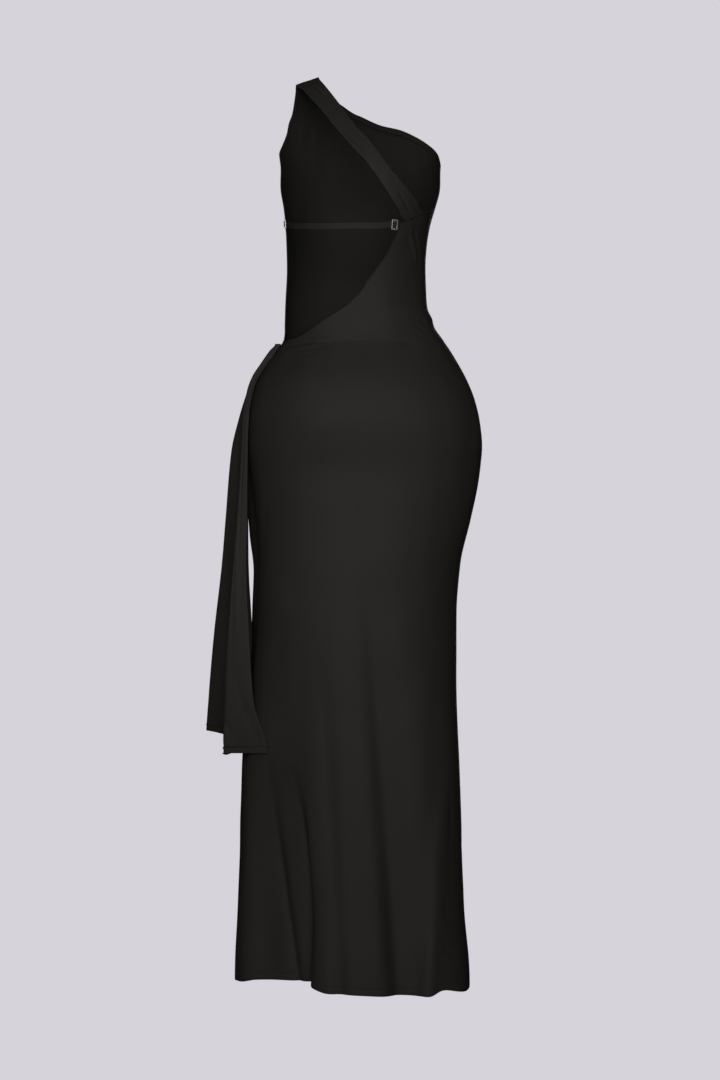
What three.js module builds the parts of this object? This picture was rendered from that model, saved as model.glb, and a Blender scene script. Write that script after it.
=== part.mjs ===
import * as THREE from 'three';

// A long one-shoulder dress in fine jersey, open at the back, as it stands when worn.
// Millimetres, +Z up. The front faces -Y and the wearer's left is +X. The origin lies under the strap, on top of
// the left shoulder. A place on the cloth is given by its turn round the body in degrees (0 left side, 90 centre
// back, 180 right side, -90 centre front) and by its level, which is z before the shoulder line's slope is added.

// Cloth and seams
const CLOTH = 1.2;
const SEAM = 0.3;
const BAND = 1.0;

// Main levels
const WAIST = -420;
const UNDERARM_FRONT = -131;
const UNDERARM_SEAM = -200;
const LAST_LEVEL_ROW = -1200;
const HEM_LEVEL = -1434;

// Sloping shoulder line: rise per millimetre towards the neck, where it is level, its reach, and where it fades
const SHOULDER = { slope: 0.34, levelX: 6, outerX: 20, innerX: -16, fadeFrom: -30, fadeTo: -90 };

// The dress round the body, level by level: side edges, front and back depth, and how full its corners are
const FORM = [
  { z: 0, left: 64.5, right: -225, front: 0, back: 0, full: 2.3 },
  { z: -2, left: 64.5, right: -225, front: -8, back: 8, full: 2.3 },
  { z: -8, left: 64.5, right: -225, front: -18, back: 17, full: 2.3 },
  { z: -22, left: 64.5, right: -225.5, front: -36, back: 32, full: 2.3 },
  { z: -50, left: 63, right: -226, front: -60, back: 52, full: 2.3 },
  { z: -90, left: 57, right: -222.5, front: -84, back: 73, full: 2.3 },
  { z: -135, left: 47, right: -214.5, front: -101, back: 88, full: 2.3 },
  { z: -165, left: 46, right: -213, front: -111, back: 93, full: 2.3 },
  { z: -200, left: 40, right: -204, front: -119, back: 96, full: 2.3 },
  { z: -228, left: 37, right: -196, front: -119, back: 95, full: 2.3 },
  { z: -260, left: 35, right: -191, front: -112, back: 90, full: 2.3 },
  { z: -300, left: 34, right: -188.5, front: -99, back: 82, full: 2.3 },
  { z: -345, left: 36, right: -189.5, front: -90, back: 75, full: 2.3 },
  { z: -366, left: 37, right: -192, front: -88, back: 73, full: 2.3 },
  { z: -380, left: 37.5, right: -200, front: -87, back: 72.3, full: 2.3 },
  { z: -390, left: 38, right: -201, front: -87, back: 72.3, full: 2.3 },
  { z: -400, left: 38, right: -207.5, front: -88, back: 72.5, full: 2.3 },
  { z: -418, left: 41, right: -220.5, front: -91, back: 75, full: 2.3 },
  { z: -440, left: 57.5, right: -234, front: -95, back: 84.5, full: 2.3 },
  { z: -477, left: 80.5, right: -253.5, front: -101, back: 101, full: 2.3 },
  { z: -507, left: 89.5, right: -265.5, front: -105, back: 110, full: 2.3 },
  { z: -545, left: 94, right: -274.5, front: -108, back: 115.5, full: 2.3 },
  { z: -585, left: 95, right: -278.5, front: -109, back: 111, full: 2.3 },
  { z: -612, left: 92.5, right: -276.5, front: -109, back: 106.5, full: 2.3 },
  { z: -640, left: 88.5, right: -273, front: -108, back: 104, full: 2.3 },
  { z: -700, left: 82, right: -260.5, front: -106, back: 103.5, full: 2.3 },
  { z: -770, left: 78.5, right: -244, front: -104, back: 105, full: 2.35 },
  { z: -850, left: 79.5, right: -237, front: -104, back: 107, full: 2.4 },
  { z: -960, left: 90.5, right: -237.5, front: -107, back: 110, full: 2.5 },
  { z: -1080, left: 105, right: -241.5, front: -110, back: 115, full: 2.6 },
  { z: -1200, left: 108.5, right: -245.5, front: -113, back: 119, full: 2.7 },
  { z: -1320, left: 113, right: -249, front: -116, back: 124, full: 2.8 },
  { z: -1445, left: 116, right: -258.5, front: -119, back: 129, full: 2.9 },
];

// Lengthwise folds of the skirt: where each starts and stops, its x at the top, middle and foot, its depth at the
// foot, inwards, how wide it is towards the left and the right, and whether it is creased (1) or round (0). The
// left flank is one broad hollow, and a ridge has a depth below nothing.
const FOLDS = [
  { side: 1, from: -840, to: -1434, top: 40, mid: 50, foot: 60, depth: 46, left: 62, right: 62, sharp: 0 },
  { side: 1, from: -1080, to: -1434, top: 24, mid: -12, foot: -10, depth: 34, left: 27, right: 7, sharp: 1 },
  { side: 1, from: -1120, to: -1434, top: -20, mid: -34, foot: -33, depth: -4, left: 13, right: 15, sharp: 0 },
  { side: 1, from: -1040, to: -1434, top: 66, mid: 36, foot: 8, depth: 10, left: 13, right: 8, sharp: 1 },
  { side: 1, from: -760, to: -1434, top: -92, mid: -118, foot: -143, depth: 16, left: 15, right: 42, sharp: 0 },
  { side: 1, from: -840, to: -1434, top: -26, mid: -36, foot: -52, depth: 6, left: 14, right: 12, sharp: 0 },
  { side: 1, from: -1030, to: -1434, top: -226, mid: -206, foot: -189, depth: -8, left: 15, right: 15, sharp: 0 },
  { side: -1, from: -640, to: -1434, top: 30, mid: 15, foot: -5, depth: 10, left: 24, right: 24, sharp: 0 },
  { side: -1, from: -820, to: -1434, top: -60, mid: -72, foot: -88, depth: 8, left: 20, right: 20, sharp: 0 },
  { side: -1, from: -940, to: -1434, top: -150, mid: -158, foot: -172, depth: 11, left: 22, right: 22, sharp: 0 },
];
const FOLD_FADE_AT_SIDE = 0.3;
const FOLD_ROUNDING = 1.5;

// Soft pleat of the front beside its left seam, which stands out past the back: how far out, level by level
const FLANK = [
  { z: -421, out: 0 },
  { z: -445, out: 3.5 },
  { z: -494, out: 4 },
  { z: -535, out: 4.5 },
  { z: -570, out: 6.5 },
  { z: -606, out: 11.5 },
  { z: -650, out: 16.5 },
  { z: -690, out: 17.5 },
  { z: -725, out: 17 },
  { z: -788, out: 12 },
  { z: -857, out: 13 },
  { z: -930, out: 11 },
  { z: -1000, out: 7 },
  { z: -1060, out: 2.5 },
  { z: -1110, out: 0 },
];
const FLANK_TURN = { from: 0, crest: -11, to: -34 };

// Hem level across the back and across the front
const HEM_BACK = [
  { x: 114, z: -1431 },
  { x: 80, z: -1424 },
  { x: 20, z: -1421 },
  { x: -14, z: -1422 },
  { x: -30, z: -1431 },
  { x: -80, z: -1433 },
  { x: -150, z: -1436 },
  { x: -190, z: -1437 },
  { x: -212, z: -1430 },
  { x: -256, z: -1440 },
];
const HEM_FRONT = [
  { x: 114, z: -1431 },
  { x: -71, z: -1437 },
  { x: -256, z: -1440 },
];

// Free edge of the front beside the left arm, and its neckline from the strap to the right underarm
const ARMHOLE = [
  { z: -4, x: 20.2 },
  { z: -18, x: 22.4 },
  { z: -40, x: 27.2 },
  { z: -53, x: 32.2 },
  { z: -72, x: 36.2 },
  { z: -93, x: 43.3 },
  { z: -112, x: 47.6 },
];
const ARMHOLE_FOOT = [
  { z: -140, turn: -10 },
  { z: -170, turn: -4.5 },
  { z: -215, turn: 0 },
];
const NECKLINE = [
  { share: 0, x: -20, z: 4.8 },
  { share: 0.11, x: -34.7, z: -15.3 },
  { share: 0.22, x: -57.2, z: -29.2 },
  { share: 0.31, x: -73.4, z: -38.6 },
  { share: 0.5, x: -115.9, z: -55.6 },
  { share: 0.64, x: -148.5, z: -63.4 },
  { share: 0.77, x: -174.6, z: -75.2 },
  { share: 0.88, x: -197.2, z: -91.4 },
];
const NECKLINE_LAST_LEVEL = -109;
const UNDERARM_TURN = -173;

// Curved edge of the open back, from the strap's corner down to the left waist
const OPENING = [
  { share: 0, x: -145.7, z: -245.6 },
  { share: 0.14, x: -126.9, z: -283.3 },
  { share: 0.267, x: -105.1, z: -314.4 },
  { share: 0.393, x: -83.2, z: -345.3 },
  { share: 0.48, x: -64.4, z: -363.8 },
  { share: 0.6, x: -33.1, z: -383.5 },
  { share: 0.72, x: -4.6, z: -402.9 },
  { share: 0.83, x: 21, z: -415.5 },
  { share: 0.92, x: 34.5, z: -418.5 },
];
// The back's top edge rises quickly from that corner, then more slowly to the right side
const TOP_EDGE_BOW = 0.62;

// Shoulder strap, by its two long edges, from its seam on the front over the shoulder to its foot on the back
const STRAP_SEAM_LEVEL = -3;
const STRAP = [
  { side: -1, lowX: 20, lowZ: -7.7, highX: -20, highZ: 5.3 },
  { side: 1, lowX: 19.4, lowZ: -4.5, highX: -17, highZ: 8.3 },
  { side: 1, lowX: 18.2, lowZ: -8, highX: -17.2, highZ: 3 },
  { side: 1, lowX: 6.8, lowZ: -18.5, highX: -22, highZ: -3.5 },
  { side: 1, lowX: -7.4, lowZ: -37.8, highX: -32.6, highZ: -19 },
  { side: 1, lowX: -33, lowZ: -70.7, highX: -54.9, highZ: -51.8 },
  { side: 1, lowX: -70.7, lowZ: -118.8, highX: -92, highZ: -101 },
  { side: 1, lowX: -114.3, lowZ: -173.4, highX: -136, highZ: -159.7 },
  { side: 1, lowX: -142.4, lowZ: -215.5, highX: -168, highZ: -195 },
];
const STRAP_FOOT = { lowTurn: 130, highTurn: 152.5 };
const STRAP_CELLS = 4;
const STRAP_STEPS = 2;
const SEAM_DROP = 0.19;
const STRAP_CLEAR = 0.6;

// Metal sliders: outer size, wire, middle bar, thickness, how blunt the corners are, and how far inside the dress's
// face their middle lies. The left one stands a distance from the front's edge.
const SLIDER = { width: 10.4, height: 16.4, wire: 1.8, bar: 1.2, thick: 1.6, blunt: 0.4, inside: 0.5 };
const SLIDER_LEFT = { fromEdge: 9.5, z: -227 };
const SLIDER_RIGHT = { turn: 117.6, z: -241.5 };

// Thin strap: its level by turn, and half of its way through a slider by the distance from the slider's middle
const THIN_STRAP_WIDTH = 10;
const THIN_STRAP_LAST = 117.6;
const THIN_STRAP = [
  { turn: 0, z: -227 },
  { turn: 23, z: -235.5 },
  { turn: 45, z: -241 },
  { turn: 74, z: -244.7 },
  { turn: 100, z: -244.5 },
  { turn: THIN_STRAP_LAST, z: -241.5 },
];
const WEAVE = [
  { along: 0, out: 1.86 },
  { along: 0.93, out: 1.61 },
  { along: 1.61, out: 0.93 },
  { along: 1.86, out: 0 },
  { along: 1.96, out: -0.95 },
  { along: 2.5, out: -1.5 },
  { along: 3.4, out: -1.65 },
  { along: 6, out: -1.65 },
];
const THIN_STRAP_INSIDE = 2.1;
const THIN_STRAP_STEPS = 16;
const SLIDER_CLEAR = 3;
const UNDER_PANEL = 9;
const UNDER_PANEL_DIP = 1.1;
const BESIDE_EDGE = 0.5;

// Sash in a flat Z fold: near leg from its free edge to the first fold, middle leg back to the second fold, and
// far leg out to its other free edge
const SASH_TOP = -421;
const SASH_HEM = [
  { share: 0, z: -1067 },
  { share: 0.4, z: -1072 },
  { share: 0.7, z: -1056 },
  { share: 1, z: -1042 },
];
const SASH = [
  { z: -421, freeX: 42.9, freeY: 21, foldX: 49.5, foldY: 21.5, turnX: 44.9, turnY: 12, farX: 50.5, farY: 7 },
  { z: -432, freeX: 49.6, freeY: 23, foldX: 58.4, foldY: 23.5, turnX: 54.6, turnY: 13, farX: 61.4, farY: 6.5 },
  { z: -452, freeX: 63.1, freeY: 26, foldX: 72, foldY: 26.5, turnX: 69.5, turnY: 15, farX: 76.5, farY: 6 },
  { z: -473, freeX: 76.8, freeY: 28, foldX: 85.5, foldY: 28.5, turnX: 82.4, turnY: 17, farX: 89, farY: 5 },
  { z: -494, freeX: 85.2, freeY: 30, foldX: 93.3, foldY: 30.5, turnX: 90, turnY: 19, farX: 96.9, farY: 4 },
  { z: -535, freeX: 92.4, freeY: 32, foldX: 100.6, foldY: 32.5, turnX: 96.5, turnY: 21, farX: 110, farY: 1 },
  { z: -592, freeX: 94.6, freeY: 35, foldX: 103, foldY: 36, turnX: 97.5, turnY: 23, farX: 123.4, farY: -4 },
  { z: -700, freeX: 95.5, freeY: 39, foldX: 110, foldY: 40, turnX: 97.5, turnY: 26, farX: 133.3, farY: -14 },
  { z: -770, freeX: 96.5, freeY: 42, foldX: 115, foldY: 42, turnX: 97, turnY: 27, farX: 139.6, farY: -22 },
  { z: -886, freeX: 91.5, freeY: 48, foldX: 123, foldY: 43, turnX: 92.5, turnY: 28, farX: 153.3, farY: -32 },
  { z: -984, freeX: 84.5, freeY: 57, foldX: 127.5, foldY: 45, turnX: 99, turnY: 28, farX: 162.2, farY: -40 },
  { z: -1070, freeX: 61, freeY: 72, foldX: 129, foldY: 46, turnX: 109, turnY: 28, farX: 167.7, farY: -48 },
];
const PLY_BEND = 4.6;

// Mesh rows down the right side seam, and columns
const ROW_BANDS = [
  { from: -131, to: -143, rows: 3 },
  { from: -143, to: -200, rows: 4 },
  { from: -200, to: -360, rows: 7 },
  { from: -360, to: -420, rows: 6 },
  { from: -420, to: -460, rows: 2 },
  { from: -460, to: -640, rows: 5 },
  { from: -640, to: -860, rows: 4 },
  { from: -860, to: -1434, rows: 9 },
];
const FRONT_COLUMNS = 18;
const BACK_COLUMNS = 26;
const BACK_GATHER = 0.42;
const SASH_ROWS = 20;

// Steps for directions on the form in degrees and millimetres, for lengths along it in degrees, and its crest
const TURN_STEP = 0.5;
const LEVEL_STEP = 1;
const LENGTH_STEP = 0.1;
const CREST_LEVEL = -0.5;

const { degToRad, radToDeg, clamp, lerp, inverseLerp } = THREE.MathUtils;

// Smooth value of a table's column where its key column has a value, never swinging past the rows
function smooth(table, key, column, value) {
  const sign = Math.sign(table[table.length - 1][key] - table[0][key]);
  const at = (row) => sign * table[row][key];
  const last = table.length - 1;
  const v = clamp(sign * value, at(0), at(last));
  let row = 0;
  while (row < last - 1 && at(row + 1) < v) row += 1;
  const slope = (i) => (table[i + 1][column] - table[i][column]) / (at(i + 1) - at(i));
  const bend = (i) => {
    const before = i > 0 ? slope(i - 1) : 0;
    const after = i < last ? slope(i) : 0;
    return before * after > 0 ? (2 * before * after) / (before + after) : 0;
  };
  const run = at(row + 1) - at(row);
  const t = (v - at(row)) / run;
  const a = table[row][column];
  const b = table[row + 1][column];
  const t2 = t * t;
  const t3 = t2 * t;
  return (2 * t3 - 3 * t2 + 1) * a + (t3 - 2 * t2 + t) * run * bend(row)
    + (3 * t2 - 2 * t3) * b + (t3 - t2) * run * bend(row + 1);
}

// Rise of the shoulder line at x, faded out below the shoulder
function shoulderRise(x, level) {
  const { slope, levelX, outerX, innerX, fadeFrom, fadeTo } = SHOULDER;
  const fade = clamp(inverseLerp(fadeTo, fadeFrom, level), 0, 1);
  return slope * (levelX - clamp(x, innerX, outerX)) * fade;
}

function ringAt(level) {
  const value = (column) => smooth(FORM, 'z', column, level);
  const left = value('left');
  const right = value('right');
  const front = value('front');
  const back = value('back');
  return {
    x: (left + right) / 2,
    wide: (left - right) / 2,
    y: (front + back) / 2,
    deep: (back - front) / 2,
    full: value('full'),
  };
}

// How far the folds push the cloth inwards at x and level, on the back (1) or the front (-1)
function foldDepth(x, level, side) {
  let depth = 0;
  for (const fold of FOLDS.filter((row) => row.side === side)) {
    const t = clamp(inverseLerp(fold.from, fold.to, level), 0, 1);
    const grown = t * (2 - t);
    const upper = lerp(fold.top, fold.mid, 2 * t);
    const lower = lerp(fold.mid, fold.foot, 2 * t - 1);
    const away = x - (t < 0.5 ? upper : lower);
    const wide = away > 0 ? fold.left : fold.right;
    const creased = (FOLD_ROUNDING - Math.hypot(away, FOLD_ROUNDING)) / wide;
    depth += fold.depth * grown * Math.exp(fold.sharp ? creased : -((away / wide) ** 2));
  }
  return depth;
}

// How far the pleat beside the left seam stands out
function flank(turn, level) {
  const { from, crest, to } = FLANK_TURN;
  if (turn >= from || turn <= to) return 0;
  const share = turn > crest ? inverseLerp(from, crest, turn) : inverseLerp(to, crest, turn);
  return smooth(FLANK, 'z', 'out', level) * THREE.MathUtils.smoothstep(share, 0, 1);
}

// Point of the dress's outer face
function place(turn, level) {
  const ring = ringAt(level);
  const c = Math.cos(degToRad(turn));
  const s = Math.sin(degToRad(turn));
  const x = ring.x + ring.wide * Math.sign(c) * Math.abs(c) ** (2 / ring.full) + flank(turn, level);
  const side = Math.sign(s) || 1;
  const fade = THREE.MathUtils.smoothstep(Math.abs(s), 0, FOLD_FADE_AT_SIDE);
  const y = ring.y + side * (ring.deep * Math.abs(s) ** (2 / ring.full) - fade * foldDepth(x, level, side));
  return new THREE.Vector3(x, y, level + shoulderRise(x, level));
}

// Outward direction there, from places a little away; the crest of the shoulder faces straight up
function outward(turn, level) {
  if (level > CREST_LEVEL) return new THREE.Vector3(SHOULDER.slope, 0, 1).normalize();
  const around = place(turn + TURN_STEP, level).sub(place(turn - TURN_STEP, level));
  const down = place(turn, level - LEVEL_STEP).sub(place(turn, level + LEVEL_STEP));
  return down.cross(around).normalize();
}

// Level and turn of a place that is given by its x and z
function levelOf(x, z) {
  let level = z;
  for (let i = 0; i < 4; i += 1) level = Math.min(0, z - shoulderRise(x, level));
  return level;
}

function turnOf(x, z, side) {
  const ring = ringAt(levelOf(x, z));
  const e = clamp((x - ring.x) / ring.wide, -1, 1);
  const c = Math.sign(e) * Math.abs(e) ** (ring.full / 2);
  return side * radToDeg(Math.acos(c));
}

// A spot is an outer point with its outward direction
function spot(turn, level, out = 0) {
  const n = outward(turn, level);
  return { p: place(turn, level).addScaledVector(n, out), n };
}

function slide(item, x, y, z) {
  item.p.add(new THREE.Vector3(x, y, z));
  return item;
}

// Closed wall: a grid of spots, and the same grid moved inwards by the cloth's thickness
function wall(grid, thickness = CLOTH) {
  const rows = grid.length;
  const columns = grid[0].length;
  const outer = grid.flat().map(({ p }) => p);
  const inner = grid.flat().map(({ p, n }) => p.clone().addScaledVector(n, -thickness));
  const id = (row, column) => row * columns + column;
  const faces = [];
  const quad = (a, b, c, d) => faces.push(a, b, c, a, c, d);
  const under = outer.length;
  for (let r = 0; r < rows - 1; r += 1) {
    for (let c = 0; c < columns - 1; c += 1) {
      const [a, b, d, e] = [id(r, c), id(r, c + 1), id(r + 1, c + 1), id(r + 1, c)];
      quad(a, b, d, e);
      quad(under + a, under + e, under + d, under + b);
    }
  }
  const rim = [];
  for (let c = 0; c < columns - 1; c += 1) rim.push(id(0, c));
  for (let r = 0; r < rows - 1; r += 1) rim.push(id(r, columns - 1));
  for (let c = columns - 1; c > 0; c -= 1) rim.push(id(rows - 1, c));
  for (let r = rows - 1; r > 0; r -= 1) rim.push(id(r, 0));
  rim.forEach((a, i) => {
    const b = rim[(i + 1) % rim.length];
    quad(a, under + a, under + b, b);
  });
  return closed([...outer, ...inner], faces);
}

// Geometry of a closed body, turned the right way out
function closed(points, faces) {
  let volume = 0;
  for (let i = 0; i < faces.length; i += 3) {
    const [a, b, c] = [points[faces[i]], points[faces[i + 1]], points[faces[i + 2]]];
    volume += a.dot(b.clone().cross(c));
  }
  const index = volume > 0 ? faces : faces.slice().reverse();
  const geometry = new THREE.BufferGeometry().setFromPoints(points);
  geometry.setIndex(index);
  geometry.computeVertexNormals();
  return geometry;
}

// Levels of the mesh rows down the right side seam
function seamRows(top) {
  const levels = [ROW_BANDS[0].from];
  for (const { from, to, rows } of ROW_BANDS) {
    for (let i = 1; i <= rows; i += 1) levels.push(lerp(from, to, i / rows));
  }
  return levels.filter((level) => level <= top);
}

// Level of a row below the waist, stretched so that the last row is the hem
function skirtLevel(row, turn) {
  if (row > LAST_LEVEL_ROW) return row;
  const x = place(turn, row).x;
  const hem = smooth(turn >= 0 ? HEM_BACK : HEM_FRONT, 'x', 'z', x);
  return lerp(LAST_LEVEL_ROW, hem, inverseLerp(LAST_LEVEL_ROW, HEM_LEVEL, row));
}

// The spots of a side seam are drawn back by half the seam's gap
function seamSpot(turn, level, back) {
  return slide(spot(turn, level), 0, (back ? SEAM : -SEAM) / 2, 0);
}

function armholeTurn(z) {
  const points = ARMHOLE.map((row) => ({ z: row.z, turn: turnOf(row.x, row.z, -1) }));
  return smooth([...points, ...ARMHOLE_FOOT], 'z', 'turn', z);
}

// Top edge of the front: the strap's seam, then the neckline
function frontTop(column) {
  const seam = STRAP[0];
  const seamLevel = STRAP_SEAM_LEVEL - SEAM_DROP;
  const low = turnOf(seam.lowX, seam.lowZ, -1);
  const high = turnOf(seam.highX, seam.highZ, -1);
  if (column <= STRAP_CELLS) return { turn: lerp(low, high, column / STRAP_CELLS), level: seamLevel };
  const share = (column - STRAP_CELLS) / (FRONT_COLUMNS - STRAP_CELLS);
  const lastNeck = NECKLINE[NECKLINE.length - 1];
  const points = NECKLINE.map(({ share: s, x, z }) => ({ s, turn: turnOf(x, z, -1), level: levelOf(x, z) }));
  points[0] = { s: 0, turn: high, level: seamLevel };
  points.push({
    s: (1 + lastNeck.share) / 2,
    turn: (points.at(-1).turn + UNDERARM_TURN) / 2,
    level: NECKLINE_LAST_LEVEL,
  });
  points.push({ s: 1, turn: UNDERARM_TURN, level: UNDERARM_FRONT });
  return { turn: smooth(points, 's', 'turn', share), level: smooth(points, 's', 'level', share) };
}

function frontPanel() {
  const corner = frontTop(0);
  const tops = Array.from({ length: FRONT_COLUMNS + 1 }, (_, column) => frontTop(column));
  return seamRows(UNDERARM_FRONT).map((row) => {
    const v = clamp(inverseLerp(UNDERARM_FRONT, WAIST, row), 0, 1);
    const armhole = armholeTurn(lerp(corner.level, WAIST, v)) - (1 - v) * corner.turn;
    return tops.map((top, column) => {
      const u = column / FRONT_COLUMNS;
      let turn = (1 - v) * top.turn - v * 180 * u + (v < 1 ? (1 - u) * armhole : 0);
      if (column === FRONT_COLUMNS && row <= UNDERARM_SEAM) turn = -180;
      const level = v < 1 ? lerp(top.level, WAIST, v) : skirtLevel(row, turn);
      const atSeam = (column === 0 && row <= WAIST) || (column === FRONT_COLUMNS && row <= UNDERARM_SEAM);
      return atSeam ? seamSpot(turn, level, false) : spot(turn, level);
    });
  });
}

// Left edge of the back at a row of the right seam: the open back's curve, then the left side seam
function backLeftEdge(row) {
  if (row <= WAIST) return { turn: 0, level: row };
  const share = inverseLerp(UNDERARM_SEAM, WAIST, row);
  const points = OPENING.map(({ share: s, x, z }) => ({ s, turn: turnOf(x, z, 1), level: z }));
  points.push({ s: 1, turn: 0, level: WAIST });
  return { turn: smooth(points, 's', 'turn', share), level: smooth(points, 's', 'level', share) };
}

// Turn and level at a share of the way from that edge to the right seam
function backPlace(row, share) {
  const edge = backLeftEdge(row);
  const down = clamp(inverseLerp(UNDERARM_SEAM, WAIST, row), 0, 1);
  const bow = lerp(TOP_EDGE_BOW, 1, down);
  const turn = lerp(edge.turn, 180, share);
  return { turn, level: lerp(edge.level, row, share ** bow) };
}

function backPanel() {
  return seamRows(UNDERARM_SEAM).map((row) => {
    const spots = [];
    for (let column = 0; column <= BACK_COLUMNS; column += 1) {
      const even = column / BACK_COLUMNS;
      const share = even + (BACK_GATHER * Math.sin(2 * Math.PI * even)) / (2 * Math.PI);
      const { turn, level } = backPlace(row, share);
      const z = row <= WAIST ? skirtLevel(row, turn) : level;
      const atSeam = column === BACK_COLUMNS || (column === 0 && row <= WAIST);
      spots.push(atSeam ? seamSpot(turn, z, true) : spot(turn, z));
    }
    return spots;
  });
}

// Level of the back's top edge at a turn
function backTopLevel(turn) {
  const corner = backLeftEdge(UNDERARM_SEAM);
  return backPlace(UNDERARM_SEAM, inverseLerp(corner.turn, 180, turn)).level;
}

function shoulderStrap() {
  const edges = STRAP.map(({ side, lowX, lowZ, highX, highZ }, row) => ({
    row,
    lowTurn: Math.abs(turnOf(lowX, lowZ, side)),
    lowLevel: row === 0 ? STRAP_SEAM_LEVEL : levelOf(lowX, lowZ),
    highTurn: Math.abs(turnOf(highX, highZ, side)),
    highLevel: row === 0 ? STRAP_SEAM_LEVEL : levelOf(highX, highZ),
  }));
  const { lowTurn, highTurn } = STRAP_FOOT;
  edges.push({
    row: STRAP.length,
    lowTurn,
    lowLevel: backTopLevel(lowTurn) + STRAP_CLEAR,
    highTurn,
    highLevel: backTopLevel(highTurn) + STRAP_CLEAR,
  });
  const grid = [];
  for (let step = 0; step <= STRAP_STEPS * STRAP.length; step += 1) {
    const row = step / STRAP_STEPS;
    const side = row < 1 ? -1 : 1;
    const value = (column) => smooth(edges, 'row', column, row);
    const spots = [];
    for (let cell = 0; cell <= STRAP_CELLS; cell += 1) {
      const across = cell / STRAP_CELLS;
      const turn = lerp(value('lowTurn'), value('highTurn'), across);
      const above = lerp(value('lowLevel'), value('highLevel'), across);
      const level = row === STRAP.length ? backTopLevel(turn) + STRAP_CLEAR : above;
      spots.push(spot(side * turn, level));
    }
    grid.push(spots);
  }
  return grid;
}

// Turn that lies a distance in millimetres further round than another
function turnAlong(turn, level, distance) {
  const step = LENGTH_STEP * Math.sign(distance);
  let left = Math.abs(distance);
  let at = turn;
  while (left > 0) {
    const gone = place(at, level).distanceTo(place(at + step, level));
    at += step * Math.min(1, left / gone);
    left -= gone;
  }
  return at;
}

// Flat band along a path of points, each with the direction that its face looks to
function band(path, width) {
  const grid = path.map(({ p, n, wide }) => [-1, 1].map((edge) => (
    { p: p.clone().addScaledVector(wide, (edge * width) / 2).addScaledVector(n, BAND / 2), n })));
  return wall(grid, BAND);
}

// Upward direction in the surface that faces n
function upAlong(n) {
  return new THREE.Vector3(0, 0, 1).addScaledVector(n, -n.z).normalize();
}

// Frame of a slider on the dress: middle, outward direction, way round the body, and up
function sliderFrame(turn, level) {
  const { p, n } = spot(turn, level, -SLIDER.inside);
  const up = upAlong(n);
  return { p, n, round: up.clone().cross(n), up };
}

// Band spot on the dress, at an offset outwards
function bandSpot(turn, level, out) {
  const { p, n } = spot(turn, level, out);
  return { p, n, wide: upAlong(n) };
}

const sliderLeftTurn = turnAlong(0, SLIDER_LEFT.z, SLIDER_LEFT.fromEdge);
const sliderLeft = sliderFrame(sliderLeftTurn, SLIDER_LEFT.z);
const sliderRight = sliderFrame(SLIDER_RIGHT.turn, SLIDER_RIGHT.z);

// The strap's way through a slider: under one outer bar, over the middle bar and under the other outer bar
function woven(frame) {
  const path = [...WEAVE.slice(1).reverse().map(({ along, out }) => ({ along: -along, out })), ...WEAVE];
  return path.map(({ along, out }, i) => {
    const before = path[Math.max(0, i - 1)];
    const after = path[Math.min(path.length - 1, i + 1)];
    const way = new THREE.Vector2(after.along - before.along, after.out - before.out).normalize();
    return {
      p: frame.p.clone().addScaledVector(frame.round, along).addScaledVector(frame.n, out),
      n: frame.n.clone().multiplyScalar(way.x).addScaledVector(frame.round, -way.y),
      wide: frame.up,
    };
  });
}

// Strap sewn under the front's edge, threaded through both sliders and sewn under the back's corner
function thinStrap() {
  const level = (turn) => smooth(THIN_STRAP, 'turn', 'z', turn);
  const clear = SLIDER.width / 2 + SLIDER_CLEAR;
  const start = turnAlong(sliderLeftTurn, SLIDER_LEFT.z, clear);
  const end = turnAlong(SLIDER_RIGHT.turn, SLIDER_RIGHT.z, -clear);
  const corner = backLeftEdge(UNDERARM_SEAM).turn;
  const onDress = (turn, dip = 0) => bandSpot(turn, level(turn), -THIN_STRAP_INSIDE - dip);
  const run = [];
  for (let i = 0; i <= THIN_STRAP_STEPS; i += 1) run.push(onDress(lerp(start, end, i / THIN_STRAP_STEPS)));
  const under = (edge, side) => [
    onDress(turnAlong(edge, level(edge), side * UNDER_PANEL), UNDER_PANEL_DIP),
    onDress(turnAlong(edge, level(edge), -side * BESIDE_EDGE)),
  ];
  const path = [...under(0, -1), ...woven(sliderLeft), ...run, ...woven(sliderRight), ...under(corner, 1).reverse()];
  return band(path, THIN_STRAP_WIDTH);
}

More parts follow.
